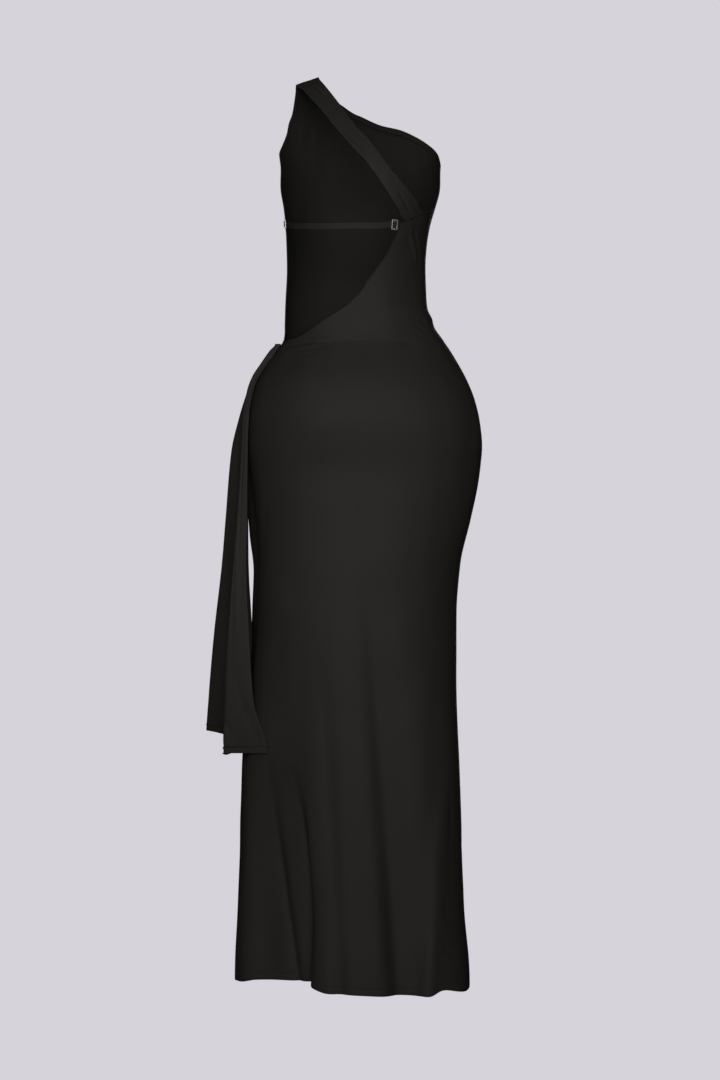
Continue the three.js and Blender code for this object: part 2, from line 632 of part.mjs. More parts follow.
// Flat frame with blunt corners and two slots beside its middle bar, made of cells between these lines
function slider() {
  const { width, height, wire, bar, thick, blunt } = SLIDER;
  const lines = [-width / 2, wire - width / 2, -bar / 2, bar / 2, width / 2 - wire, width / 2];
  const levels = [-height / 2, wire - height / 2, height / 2 - wire, height / 2];
  const [columns, rows] = [lines.length - 1, levels.length - 1];
  const filled = (c, r) => c >= 0 && c < columns && r >= 0 && r < rows && !(r === 1 && c % 2 === 1);
  const id = (c, r, face) => (face * (rows + 1) + r) * (columns + 1) + c;
  const points = [];
  for (const z of [thick / 2, -thick / 2]) {
    levels.forEach((y, r) => lines.forEach((x, c) => {
      const cut = (c === 0 || c === columns) && (r === 0 || r === rows) ? blunt : 0;
      points.push(new THREE.Vector3(x - Math.sign(x) * cut, y - Math.sign(y) * cut, z));
    }));
  }
  const faces = [];
  const quad = (a, b, c, d) => faces.push(a, b, c, a, c, d);
  const side = (c0, r0, c1, r1) => quad(id(c0, r0, 0), id(c0, r0, 1), id(c1, r1, 1), id(c1, r1, 0));
  for (let r = 0; r < rows; r += 1) {
    for (let c = 0; c < columns; c += 1) {
      if (filled(c, r)) {
        quad(id(c, r, 0), id(c + 1, r, 0), id(c + 1, r + 1, 0), id(c, r + 1, 0));
        quad(id(c, r, 1), id(c, r + 1, 1), id(c + 1, r + 1, 1), id(c + 1, r, 1));
        if (!filled(c, r - 1)) side(c, r, c + 1, r);
        if (!filled(c + 1, r)) side(c + 1, r, c + 1, r + 1);
        if (!filled(c, r + 1)) side(c + 1, r + 1, c, r + 1);
        if (!filled(c - 1, r)) side(c, r + 1, c, r);
      }
    }
  }
  return closed(points, faces);
}

function sashSection(z) {
  const v = (column) => smooth(SASH, 'z', column, z);
  const free = new THREE.Vector2(v('freeX'), v('freeY'));
  const fold = new THREE.Vector2(v('foldX'), v('foldY'));
  const turn = new THREE.Vector2(v('turnX'), v('turnY'));
  const far = new THREE.Vector2(v('farX'), v('farY'));
  const bend = PLY_BEND / 2;
  const foldBack = new THREE.Vector2(fold.x, fold.y - PLY_BEND);
  const turnBack = new THREE.Vector2(turn.x, turn.y - PLY_BEND);
  const foldTip = new THREE.Vector2(fold.x + bend, fold.y - bend);
  const turnTip = new THREE.Vector2(turn.x - bend, turn.y - bend);
  const half = (a, b) => a.clone().lerp(b, 0.5);
  return [free, half(free, fold), fold, foldTip, foldBack, half(foldBack, turn), turn, turnTip, turnBack,
    half(turnBack, far), far];
}

function sideSash() {
  const places = 2 * (sashSection(SASH_TOP).length - 1);
  const grid = [];
  for (let row = 0; row <= SASH_ROWS; row += 1) {
    const spots = [];
    for (let i = 0; i <= places; i += 1) {
      const share = i / places;
      const z = lerp(SASH_TOP, smooth(SASH_HEM, 'share', 'z', share), row / SASH_ROWS);
      const curve = new THREE.SplineCurve(sashSection(z));
      const { x, y } = curve.getPoint(share);
      const along = curve.getTangent(share);
      spots.push({ p: new THREE.Vector3(x, y, z), n: new THREE.Vector3(-along.y, along.x, 0) });
    }
    grid.push(spots);
  }
  return grid;
}

const jersey = () => new THREE.MeshStandardMaterial({ color: 0x1b1a19, roughness: 0.62, metalness: 0 });
const silver = () => new THREE.MeshStandardMaterial({ color: 0xd9dadd, roughness: 0.22, metalness: 1 });

function piece(name, geometry, material) {
  const mesh = new THREE.Mesh(geometry, material);
  mesh.name = name;
  return mesh;
}

function sliderPiece(name, frame) {
  const mesh = piece(name, slider(), silver());
  mesh.position.copy(frame.p);
  mesh.quaternion.setFromRotationMatrix(new THREE.Matrix4().makeBasis(frame.round, frame.up, frame.n));
  return mesh;
}

const dress = new THREE.Group();
dress.name = 'one_shoulder_dress';
dress.add(
  piece('front_panel', wall(frontPanel()), jersey()),
  piece('back_panel', wall(backPanel()), jersey()),
  piece('shoulder_strap', wall(shoulderStrap()), jersey()),
  piece('back_strap', thinStrap(), jersey()),
  sliderPiece('slider_left', sliderLeft),
  sliderPiece('slider_right', sliderRight),
  piece('side_sash', wall(sideSash()), jersey()),
);

export default dress;
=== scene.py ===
import math

import bpy
import numpy as np
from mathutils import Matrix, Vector


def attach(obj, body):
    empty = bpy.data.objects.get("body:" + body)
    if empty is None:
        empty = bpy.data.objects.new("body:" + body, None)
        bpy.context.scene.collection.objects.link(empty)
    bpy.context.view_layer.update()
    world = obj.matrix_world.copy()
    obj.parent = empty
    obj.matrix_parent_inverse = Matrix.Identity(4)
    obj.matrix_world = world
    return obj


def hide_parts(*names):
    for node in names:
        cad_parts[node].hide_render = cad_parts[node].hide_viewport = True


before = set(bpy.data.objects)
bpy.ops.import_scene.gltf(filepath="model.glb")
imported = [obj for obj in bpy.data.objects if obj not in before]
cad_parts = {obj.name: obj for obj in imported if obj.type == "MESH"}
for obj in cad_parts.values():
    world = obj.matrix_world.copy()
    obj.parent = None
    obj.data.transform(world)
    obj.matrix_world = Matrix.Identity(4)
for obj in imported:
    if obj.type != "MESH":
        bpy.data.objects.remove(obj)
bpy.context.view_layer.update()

# A long one-shoulder dress in black jersey, seen from behind. Lengths are in millimetres and turn to metres
# where a mesh, light or camera is made. A place on the cloth is its turn round the body in degrees (0 left
# side, 90 centre back, 180 right side, -90 centre front) and its level: z before the shoulder line's slope.
MM = 0.001


def table(names, *rows):
    """Rows of numbers under named columns."""
    return {name: np.array(column, float) for name, column in zip(names.split(), zip(*rows))}


# Cloth: its thickness, how far it lies inside the solid's face, and the turned edges with their seam line
CLOTH = 0.9
INSET = 0.1
HEM_LAYER = 0.8
EDGE_HEM = 5.0
SKIRT_HEM = 9.5
STITCH_PITCH = 2.9
STITCH_LENGTH = 2.1
STITCH_WIDTH = 0.42

# Main levels
WAIST = -420
UNDERARM_FRONT = -131
UNDERARM_SEAM = -200
LAST_LEVEL_ROW = -1200
HEM_LEVEL = -1434

# Sloping shoulder line: rise per millimetre towards the neck, where it is level, its reach, where it fades
SLOPE, SLOPE_LEVEL_X, SLOPE_OUTER_X, SLOPE_INNER_X = 0.34, 6, 20, -16
SLOPE_FADE_FROM, SLOPE_FADE_TO = -30, -90

# The dress round the body, level by level: side edges, front and back depth, and how full its corners are
FORM = table(
    "z left right front back full",
    (0, 64.5, -225, 0, 0, 2.3),
    (-2, 64.5, -225, -8, 8, 2.3),
    (-8, 64.5, -225, -18, 17, 2.3),
    (-22, 64.5, -225.5, -36, 32, 2.3),
    (-50, 63, -226, -60, 52, 2.3),
    (-90, 57, -222.5, -84, 73, 2.3),
    (-135, 47, -214.5, -101, 88, 2.3),
    (-165, 46, -213, -111, 93, 2.3),
    (-200, 40, -204, -119, 96, 2.3),
    (-228, 37, -196, -119, 95, 2.3),
    (-260, 35, -191, -112, 90, 2.3),
    (-300, 34, -188.5, -99, 82, 2.3),
    (-345, 36, -189.5, -90, 75, 2.3),
    (-366, 37, -192, -88, 73, 2.3),
    (-380, 37.5, -200, -87, 72.3, 2.3),
    (-390, 38, -201, -87, 72.3, 2.3),
    (-400, 38, -207.5, -88, 72.5, 2.3),
    (-418, 41, -220.5, -91, 75, 2.3),
    (-440, 57.5, -234, -95, 84.5, 2.3),
    (-477, 80.5, -253.5, -101, 101, 2.3),
    (-507, 89.5, -265.5, -105, 110, 2.3),
    (-545, 94, -274.5, -108, 115.5, 2.3),
    (-585, 95, -278.5, -109, 111, 2.3),
    (-612, 92.5, -276.5, -109, 106.5, 2.3),
    (-640, 88.5, -273, -108, 104, 2.3),
    (-700, 82, -260.5, -106, 103.5, 2.3),
    (-770, 78.5, -244, -104, 105, 2.35),
    (-850, 79.5, -237, -104, 107, 2.4),
    (-960, 90.5, -237.5, -107, 110, 2.5),
    (-1080, 105, -241.5, -110, 115, 2.6),
    (-1200, 108.5, -245.5, -113, 119, 2.7),
    (-1320, 113, -249, -116, 124, 2.8),
    (-1445, 116, -258.5, -119, 129, 2.9),
)
SIDE_SOFTNESS, DEPTH_SOFTNESS = 4, 9
SOFT_FROM, EXACT_FROM = -60, -25
CREST = -8

# Lengthwise folds of the skirt, on the back (1) or front (-1): where each starts and stops, its x at the top,
# middle and foot, how deep it is at the foot, how wide towards the left and the right, and whether it is
# creased (1) or round (0)
FOLDS = table(
    "side start stop top middle foot depth to_left to_right sharp",
    (1, -840, -1434, 40, 50, 60, 46, 62, 62, 0),
    (1, -1080, -1434, 24, -12, -10, 34, 27, 7, 1),
    (1, -1120, -1434, -20, -34, -33, -4, 13, 15, 0),
    (1, -1040, -1434, 66, 36, 8, 10, 13, 8, 1),
    (1, -760, -1434, -92, -118, -143, 16, 15, 42, 0),
    (1, -840, -1434, -26, -36, -52, 6, 14, 12, 0),
    (1, -1030, -1434, -226, -206, -189, -8, 15, 15, 0),
    (-1, -640, -1434, 30, 15, -5, 10, 24, 24, 0),
    (-1, -820, -1434, -60, -72, -88, 8, 20, 20, 0),
    (-1, -940, -1434, -150, -158, -172, 11, 22, 22, 0),
)
FOLD_FADE_AT_SIDE = 0.3
FOLD_ROUNDING = 1.5

# The ridge on the right of a creased fold leans over its valley: by how much of the fold's depth, how many
# widths beside the valley, and over which part of its length this grows
LIP_LEAN, LIP_BESIDE = 0.36, 1.2
LIP_FROM, LIP_TO = 0.05, 0.5

# Soft pleat of the front beside its left seam, which stands out past the back
FLANK = table(
    "z out",
    (-404, 0), (-424, 6), (-445, 8), (-494, 8), (-535, 8), (-570, 8.5), (-606, 11.5),
    (-650, 16.5), (-690, 17.5), (-725, 17), (-788, 12), (-857, 13), (-930, 11),
    (-1000, 7), (-1060, 2.5), (-1110, 0),
)
FLANK_CREST, FLANK_END = -11, -34

# Hem level across the back and across the front
HEM_BACK = table(
    "x z",
    (114, -1431), (80, -1424), (20, -1421), (-14, -1422), (-30, -1431),
    (-80, -1433), (-150, -1436), (-190, -1437), (-212, -1430), (-256, -1440),
)
HEM_FRONT = table("x z", (114, -1431), (-71, -1437), (-256, -1440))

# Free edge of the front beside the left arm, and its neckline from the strap to the right underarm
ARMHOLE = table(
    "z x", (-4, 20.2), (-18, 22.4), (-40, 27.2), (-53, 32.2), (-72, 36.2), (-93, 43.3), (-112, 47.6)
)
ARMHOLE_FOOT = table("z turn", (-140, -10), (-170, -4.5), (-215, 0))
NECKLINE = table(
    "share x z",
    (0, -20, 4.8),
    (0.11, -34.7, -15.3),
    (0.22, -57.2, -29.2),
    (0.31, -73.4, -38.6),
    (0.5, -115.9, -55.6),
    (0.64, -148.5, -63.4),
    (0.77, -174.6, -75.2),
    (0.88, -197.2, -91.4),
)
NECKLINE_LAST_LEVEL = -109
NECKLINE_SLANT = 0.8
UNDERARM_TURN, UNDERARM_BLEND = -173, 0.8

# Curved edge of the open back, from the strap's corner down to the left waist
OPENING = table(
    "share x z",
    (0, -145.7, -245.6),
    (0.14, -126.9, -283.3),
    (0.267, -105.1, -314.4),
    (0.393, -83.2, -345.3),
    (0.48, -64.4, -363.8),
    (0.6, -33.1, -383.5),
    (0.72, -4.6, -402.9),
    (0.83, 21, -415.5),
    (0.92, 34.5, -418.5),
)
TOP_EDGE_BOW = 0.62

# Shoulder strap by its two long edges, from its seam on the front over the shoulder to its foot on the back
STRAP = table(
    "side lowX lowZ highX highZ",
    (-1, 20, -7.7, -20, 5.3),
    (1, 19.4, -4.5, -17, 8.3),
    (1, 18.2, -8, -17.2, 3),
    (1, 6.8, -18.5, -22, -3.5),
    (1, -7.4, -37.8, -32.6, -19),
    (1, -33, -70.7, -54.9, -51.8),
    (1, -70.7, -118.8, -92, -101),
    (1, -114.3, -173.4, -136, -159.7),
    (1, -142.4, -215.5, -168, -195),
)
STRAP_SEAM_LEVEL = -3
STRAP_FOOT = (130, 152.5)
STRAP_SHARE = 4 / 18
SEAM = 0.3

# Metal sliders: outer size, wire, middle bar, thickness, blunt corners, rounding, and how far they lie inside
# the dress's face
SLIDER_WIDTH, SLIDER_HEIGHT, SLIDER_WIRE, SLIDER_BAR = 10.4, 16.4, 1.8, 1.2
SLIDER_THICK, SLIDER_BLUNT, SLIDER_BEVEL, SLIDER_INSIDE = 1.6, 0.4, 0.3, 0.5
SLIDER_LEFT_FROM_EDGE, SLIDER_LEFT_LEVEL = 9.5, -227
SLIDER_RIGHT_TURN, SLIDER_RIGHT_LEVEL = 117.6, -241.5

# Thin strap: its level by turn, and half of its way through a slider by the distance from the slider's middle
BAND = 1.0
THIN_STRAP_WIDTH = 10
THIN_STRAP = table(
    "turn z", (0, -227), (23, -235.5), (45, -241), (74, -244.7), (100, -244.5), (117.6, -241.5)
)
WEAVE = table(
    "along out",
    (0, 1.86), (0.93, 1.61), (1.61, 0.93), (1.86, 0), (1.96, -0.95), (2.5, -1.5), (3.4, -1.65), (6, -1.65),
)
THIN_STRAP_INSIDE = 2.1
SLIDER_CLEAR = 3
UNDER_PANEL, UNDER_PANEL_INSIDE, UNDER_PANEL_DIP = 9, 3, 0.6
BESIDE_EDGE = 0.5

# Sash in a flat Z fold: near leg from its free edge to the first fold, middle leg back to the second fold,
# and far leg out to its other free edge
SASH_TOP = -421
SASH_HEM = table("share z", (0, -1067), (0.4, -1072), (0.7, -1056), (1, -1042))
SASH = table(
    "z freeX freeY foldX foldY turnX turnY farX farY",
    (-421, 42.9, 21, 49.5, 21.5, 44.9, 12, 50.5, 7),
    (-432, 49.6, 23, 58.4, 23.5, 54.6, 13, 61.4, 6.5),
    (-452, 63.1, 26, 72, 26.5, 69.5, 15, 76.5, 6),
    (-473, 76.8, 28, 85.5, 28.5, 82.4, 17, 89, 5),
    (-494, 85.2, 30, 93.3, 30.5, 90, 19, 96.9, 4),
    (-535, 92.4, 32, 100.6, 32.5, 96.5, 21, 110, 1),
    (-592, 94.6, 35, 103, 36, 97.5, 23, 123.4, -4),
    (-700, 95.5, 39, 110, 40, 97.5, 26, 133.3, -14),
    (-770, 96.5, 42, 115, 42, 97, 27, 139.6, -22),
    (-886, 91.5, 48, 123, 43, 92.5, 28, 153.3, -32),
    (-984, 84.5, 57, 127.5, 45, 99, 28, 162.2, -40),
    (-1070, 61, 72, 129, 46, 109, 28, 167.7, -48),
)
SASH_LENGTH = 645
PLY_BEND = 4.6

# Creases: a start, middle and end in x (turn at the sides) and z, how deep each is (a ridge is below
# zero), half its width, and how much of its length fades at either end
BACK_CREASES = table(
    "x0 z0 x1 z1 x2 z2 depth half fade",
    (37, -421, 14, -423, -14, -420, 3.4, 2.8, 0.2),
    (2, -420, -30, -422.5, -60, -419.5, 2.4, 3, 0.4),
    (-46, -420.5, -76, -421.5, -106, -419, 0.7, 3.2, 0.4),
    (-94, -420, -124, -420.5, -152, -423, 0.4, 3.4, 0.45),
    (-132, -420, -158, -424, -178, -431, 1, 3.2, 0.4),
    (34, -427, 23, -425.5, 4, -422, 1.8, 2.4, 0.3),
    (31, -431, 6, -430, -30, -426, -1.1, 3, 0.4),
    (31, -437, 0, -432, -54, -430, 1.6, 3.4, 0.4),
    (34, -443, 4, -442, -40, -438, 0.7, 4.5, 0.5),
    (36, -452, 16, -456, -22, -458, 0.6, 6, 0.5),
    (-156.5, -240, -165, -257, -174, -300, -3.2, 2.4, 0.25),
    (-160.5, -241, -170.5, -260, -178.5, -300, 3.2, 2.3, 0.3),
    (-154.5, -247, -159.5, -262, -166, -290, 1.5, 2.4, 0.35),
    (-151, -246, -154, -254, -156, -270, -0.8, 2.4, 0.4),
    (-150, -246, -156, -262, -160, -290, 0.7, 3.2, 0.5),
    (-165, -262, -172, -300, -178, -330, 0.8, 6, 0.5),
    (-178, -380, -184, -389, -189, -398, 1.3, 3, 0.3),
    (-168, -392, -178, -400, -186, -410, 0.9, 3.4, 0.4),
    (-160, -402, -176, -411, -190, -424, 0.8, 4, 0.4),
    (-176, -787, -177, -806, -174, -826, 0.5, 4, 0.5),
    (-224, -1100, -225, -1180, -221, -1244, 1.6, 4, 0.4),
    (-207, -1296, -218, -1312, -228, -1330, 1.7, 4, 0.35),
    (-206, -1345, -220, -1370, -238, -1402, 1.9, 4.4, 0.35),
    (-212, -1210, -220, -1240, -226, -1290, 0.9, 5, 0.5),
    (-12, -860, -16, -930, -22, -1010, 0.8, 9, 0.5),
    (-96, -640, -98, -720, -102, -800, 0.9, 10, 0.5),
    (60, -640, 66, -700, 70, -780, 0.9, 8, 0.5),
)
FRONT_CREASES = table(
    "x0 z0 x1 z1 x2 z2 depth half fade",
    (33, -424, 8, -428, -40, -440, 1.6, 4, 0.4),
    (34, -434, 12, -446, -26, -470, 1.3, 5, 0.5),
    (35, -446, 20, -468, 0, -510, 1.1, 6, 0.5),
    (33, -414, 4, -408, -50, -396, 1.3, 4, 0.5),
    (34, -404, 10, -388, -28, -360, 0.9, 5, 0.5),
    (-190, -396, -150, -400, -100, -408, 1.1, 5, 0.5),
    (-188, -382, -160, -376, -120, -372, 0.9, 5, 0.5),
    (-205, -414, -176, -424, -130, -436, 1, 6, 0.5),
    (-200, -140, -182, -160, -150, -176, 1, 7, 0.5),
    (-14, -30, -12, -80, -20, -140, 1.1, 8, 0.5),
    (4, -30, 10, -70, 8, -120, 0.8, 7, 0.5),
    (-60, -700, -64, -800, -70, -900, 1, 12, 0.5),
    (20, -900, 12, -1000, 6, -1120, 1.2, 12, 0.5),
    (-150, -1000, -156, -1120, -164, -1260, 1.2, 12, 0.5),
)
SIDE_CREASES = table(
    "x0 z0 x1 z1 x2 z2 depth half fade",
    (176, -378, 180, -385, 186, -392, 1.6, 3.4, 0.35),
    (172, -397, 179, -402, 188, -406, 1.5, 3.6, 0.35),
    (170, -414, 178, -422, 187, -434, 1.1, 4.6, 0.4),
    (188, -372, 193, -380, 199, -386, 1, 4, 0.5),
    (171, -1150, 178, -1230, 184, -1310, 1.4, 7, 0.5),
    (176, -1290, 182, -1350, 188, -1420, 1.6, 7, 0.3),
    (-8, -900, -4, -1040, 2, -1200, 1.6, 10, 0.5),
    (10, -1050, 6, -1180, 4, -1400, 2, 9, 0.3),
)
STRAP_CREASES = table(
    "row0 across0 row1 across1 depth half fade",
    (2.1, 0.45, 4.6, 0.62, 1.1, 2.4, 0.4),
    (1.2, 0.62, 2.6, 0.7, 0.9, 2.6, 0.4),
    (4.6, 0.3, 6.8, 0.36, 0.5, 3, 0.5),
    (7.4, 0.5, 9, 0.34, 0.9, 3, 0.3),
    (7.9, 0.8, 9, 0.74, 0.7, 2.6, 0.3),
)
SASH_CREASES = table(
    "share lean start stop depth half",
    (0.06, 0.03, -425, -560, 1.1, 0.02),
    (0.14, -0.05, -430, -690, 1.2, 0.024),
    (0.09, 0.04, -560, -900, 0.8, 0.03),
    (0.19, -0.06, -700, -1000, 1, 0.034),
    (0.24, 0.05, -820, -1060, 0.9, 0.03),
    (0.08, -0.06, -930, -1066, 0.8, 0.026),
    (0.12, 0.13, -985, -1030, 0.9, 0.02),
    (0.2, -0.12, -1002, -1056, 0.9, 0.02),
    (0.14, 0.16, -1030, -1072, 0.8, 0.018),
    (0.5, 0.02, -440, -1060, 1.2, 0.04),
    (0.82, 0.04, -430, -640, 1.2, 0.024),
    (0.9, -0.05, -520, -820, 1.3, 0.03),
    (0.79, 0.05, -760, -1050, 1.2, 0.03),
    (0.94, -0.03, -700, -1040, 0.9, 0.024),
)

# Mesh: distances in from an edge where its turned hem needs points, how many rows and columns follow, and the
# length of each panel from its top edge to the waist
EDGE_STEPS = np.array([0, 0.5, 1.1, 2, 3.2, 4.2, 4.7, 5.0, 5.3, 5.8, 6.8])
HEM_STEPS = np.array([0, 0.5, 1.2, 2.4, 5, 7.5, 8.8, 9.3, 9.7, 10.2, 11, 13])
BACK_COLUMNS = 112
FRONT_STRAP_COLUMNS = 16
FRONT_NECK_COLUMNS = 80
UPPER_ROWS = 88
BACK_UPPER_ROWS = 58
SKIRT_ROWS = 306
FRONT_UPPER_LENGTH, BACK_UPPER_LENGTH = 330, 220


def smoothstep(low, high, value):
    t = np.clip((value - low) / (high - low), 0, 1)
    return t * t * (3 - 2 * t)


def lerp(a, b, t):
    return a + (b - a) * t


def bell(value):
    return np.exp(-(value**2))


def bezier(t, a, b, c):
    """Curve through a at 0, b at one half and c at 1."""
    pull = 2 * b - (a + c) / 2
    return (1 - t) ** 2 * a + 2 * t * (1 - t) * pull + t * t * c


def smooth(rows, key, column, value):
    """Value of a column where its key column has a value: a curve that never swings past the rows."""
    keys, values = rows[key], rows[column]
    if keys[-1] < keys[0]:
        keys, values = keys[::-1], values[::-1]
    at = np.clip(value, keys[0], keys[-1])
    run = np.diff(keys)
    slope = np.diff(values) / run
    before, after = slope[:-1], slope[1:]
    same = before * after > 0
    bend = np.zeros(len(keys))
    bend[1:-1][same] = 2 * before[same] * after[same] / (before + after)[same]
    row = np.clip(np.searchsorted(keys, at, side="right") - 1, 0, len(run) - 1)
    t = (at - keys[row]) / run[row]
    t2, t3 = t * t, t * t * t
    return (
        (2 * t3 - 3 * t2 + 1) * values[row]
        + (t3 - 2 * t2 + t) * run[row] * bend[row]
        + (3 * t2 - 2 * t3) * values[row + 1]
        + (t3 - t2) * run[row] * bend[row + 1]
    )


def softened(values, samples):
    """A column with its bends rounded by a bell curve some samples wide."""
    reach = np.arange(-4 * samples, 4 * samples + 1)
    weights = np.exp(-0.5 * (reach / samples) ** 2)
    padded = np.pad(values, len(reach) // 2, mode="edge")
    return np.convolve(padded, weights / weights.sum(), mode="valid")


LEVEL_STEP = 0.5
LEVELS = np.arange(-1500, LEVEL_STEP / 2, LEVEL_STEP)


def form_column(name):
    """A column of the form at every level: soft bends, and a rounded crest on the shoulder."""
    exact = smooth(FORM, "z", name, LEVELS)
    softness = SIDE_SOFTNESS if name in ("left", "right") else DEPTH_SOFTNESS
    soft = softened(exact, int(softness / LEVEL_STEP))
    values = lerp(soft, exact, smoothstep(SOFT_FROM, EXACT_FROM, LEVELS))
    if name in ("front", "back"):
        crest = smooth(FORM, "z", name, np.array([CREST]))[0]
        top = LEVELS > CREST
        values[top] = crest * np.sqrt(np.clip(LEVELS[top] / CREST, 0, 1))
    return values


BODY = {name: form_column(name) for name in ("left", "right", "front", "back", "full")}


def ring_at(level):
    left, right, front, back, full = (np.interp(level, LEVELS, BODY[name]) for name in BODY)
    return (left + right) / 2, (left - right) / 2, (front + back) / 2, (back - front) / 2, full


def shoulder_rise(x, level):
    fade = np.clip((level - SLOPE_FADE_TO) / (SLOPE_FADE_FROM - SLOPE_FADE_TO), 0, 1)
    return SLOPE * (SLOPE_LEVEL_X - np.clip(x, SLOPE_INNER_X, SLOPE_OUTER_X)) * fade


def folds(x, level, side):
    """For each fold: its depth on this side, the share down it, how far beside its line, and its row."""
    for values in zip(*FOLDS.values()):
        row = dict(zip(FOLDS, values))
        t = np.clip((level - row["start"]) / (row["stop"] - row["start"]), 0, 1)
        away = x - bezier(t, row["top"], row["middle"], row["foot"])
        yield np.where(side == row["side"], row["depth"], 0), t, away, row


def fold_depth(x, level, side):
    """How far the lengthwise folds push the cloth inwards."""
    pushed = np.zeros(np.broadcast(x, level).shape)
    for depth, t, away, row in folds(x, level, side):
        grown = t * t * (3 - 2 * t) * 0.5 + t * (2 - t) * 0.5
        wide = np.where(away > 0, row["to_left"], row["to_right"])
        creased = (FOLD_ROUNDING - np.hypot(away, FOLD_ROUNDING)) / wide
        pushed += depth * grown * np.exp(creased if row["sharp"] else -((away / wide) ** 2))
    return pushed


def lip(x, level, side):
    """How far the ridge on the right of each creased fold leans over the valley, to the left."""
    lean = np.zeros(np.broadcast(x, level).shape)
    for depth, t, away, row in folds(x, level, side):
        crest = away / row["to_right"] + LIP_BESIDE
        lean += row["sharp"] * LIP_LEAN * depth * smoothstep(LIP_FROM, LIP_TO, t) * bell(crest)
    return lean


FLANK_OUT = softened(smooth(FLANK, "z", "out", LEVELS), int(SIDE_SOFTNESS / LEVEL_STEP))


def flank(turn, level):
    """How far the pleat beside the left seam stands out."""
    share = np.where(turn > FLANK_CREST, turn / FLANK_CREST, (turn - FLANK_END) / (FLANK_CREST - FLANK_END))
    beside = (turn < 0) & (turn > FLANK_END)
    return np.where(beside, np.interp(level, LEVELS, FLANK_OUT) * smoothstep(0, 1, share), 0)


def place(turn, level):
    """Point of the dress's outer face."""
    x_mid, wide, y_mid, deep, full = ring_at(level)
    c, s = np.cos(np.radians(turn)), np.sin(np.radians(turn))
    side = np.where(s < 0, -1, 1)
    x = x_mid + wide * np.sign(c) * np.abs(c) ** (2 / full) + flank(turn, level)
    fade = smoothstep(0, FOLD_FADE_AT_SIDE, np.abs(s))
    y = y_mid + side * (deep * np.abs(s) ** (2 / full) - fade * fold_depth(x, level, side))
    return np.stack(np.broadcast_arrays(x, y, level + shoulder_rise(x, level)), axis=-1)


def level_of(x, z):
    level = z
    for _ in range(4):
        level = np.minimum(0, z - shoulder_rise(x, level))
    return level


def turn_of(x, z, side):
    """Turn of a place that is given by its x and z."""
    x_mid, wide, _, _, full = ring_at(level_of(x, z))
    e = np.clip((x - x_mid) / wide, -1, 1)
    return side * np.degrees(np.arccos(np.sign(e) * np.abs(e) ** (full / 2)))


def unit(v):
    return v / np.maximum(np.linalg.norm(v, axis=-1, keepdims=True), 1e-9)


def grid_normals(points, flip):
    """Directions that a grid of points faces."""
    across = np.gradient(points, axis=1)
    down = np.gradient(points, axis=0)
    return unit(flip * np.cross(across, down))


def along_rows(points):
    """Distance along each row of a grid from its first point."""
    steps = np.linalg.norm(np.diff(points, axis=1), axis=2)
    return np.concatenate([np.zeros((len(points), 1)), np.cumsum(steps, axis=1)], axis=1)


def along(line):
    """Distance along a line of points from its first."""
    return along_rows(line[None])[0]


def even_shares(downs, where, first, last, near, count):
    """Shares for each row: close together at some distances from the first, and then evenly spaced."""
    shares = np.linspace(first, last, 200)
    turn, level = where(downs[:, None], shares[None, :])
    gone = along_rows(place(turn, level))
    rows = []
    for length in gone:
        targets = np.concatenate([near, np.linspace(near[-1], length[-1], count + 1)[1:]])
        rows.append(np.interp(targets, length, shares))
    return np.array(rows)


# Shells


def add_object(name, data):
    made = bpy.data.objects.new(name, data)
    bpy.context.scene.collection.objects.link(made)
    return made


def new_object(name, points, faces, uv=None):
    mesh = bpy.data.meshes.new(name)
    mesh.from_pydata((np.asarray(points) * MM).tolist(), [], faces)
    if uv is not None:
        layer = mesh.uv_layers.new(name="cloth")
        corners = np.empty(len(mesh.loops), np.int32)
        mesh.loops.foreach_get("vertex_index", corners)
        layer.data.foreach_set("uv", (np.asarray(uv) * MM)[corners].astype(np.float32).ravel())
    mesh.polygons.foreach_set("use_smooth", np.ones(len(mesh.polygons), bool))
    mesh.update()
    return add_object(name, mesh)


def shell(name, outer, inner, flip, uv):
    """Closed thin wall between two grids of points."""
    rows, columns = outer.shape[:2]
    ids = np.arange(rows * columns).reshape(rows, columns)
    a, b = ids[:-1, :-1].ravel(), ids[:-1, 1:].ravel()
    d, e = ids[1:, 1:].ravel(), ids[1:, :-1].ravel()
    under = rows * columns
    face = np.stack([a, b, d, e], axis=1)
    back = np.stack([a, e, d, b], axis=1) + under
    rim = np.concatenate([ids[0, :-1], ids[:-1, -1], ids[-1, :0:-1], ids[:0:-1, 0]])
    after = np.roll(rim, -1)
    edge = np.stack([rim, rim + under, after + under, after], axis=1)
    faces = np.concatenate([face, back, edge])
    if flip < 0:
        faces = faces[:, ::-1]
    points = np.concatenate([outer.reshape(-1, 3), inner.reshape(-1, 3)])
    made = new_object(name, points, faces.tolist(), np.concatenate([uv.reshape(-1, 2)] * 2))
    made.data.materials.append(jersey)
    # Inner faces take the darker jersey copy: painted shade for the dress's inside.
    made.data.materials.append(jersey_inside_painted_shade)
    inside = np.repeat([0, 1, 0], [len(face), len(back), len(edge)])
    made.data.polygons.foreach_set("material_index", inside.astype(np.int32))
    return made


def nearest(points, path):
    """Distance of points from a path, and how far along it the nearest place is, from 0 to 1."""
    gone = along(path)
    best = np.full(len(points), np.inf)
    share = np.zeros(len(points))
    for i, step in enumerate(np.diff(gone)):
        way = path[i + 1] - path[i]
        t = np.clip((points - path[i]) @ way / step**2, 0, 1)
        distance = np.linalg.norm(points - path[i] - t[:, None] * way, axis=1)
        closer = distance < best
        best[closer] = distance[closer]
        share[closer] = lerp(gone[i], gone[i + 1], t[closer]) / gone[-1]
    return best, share


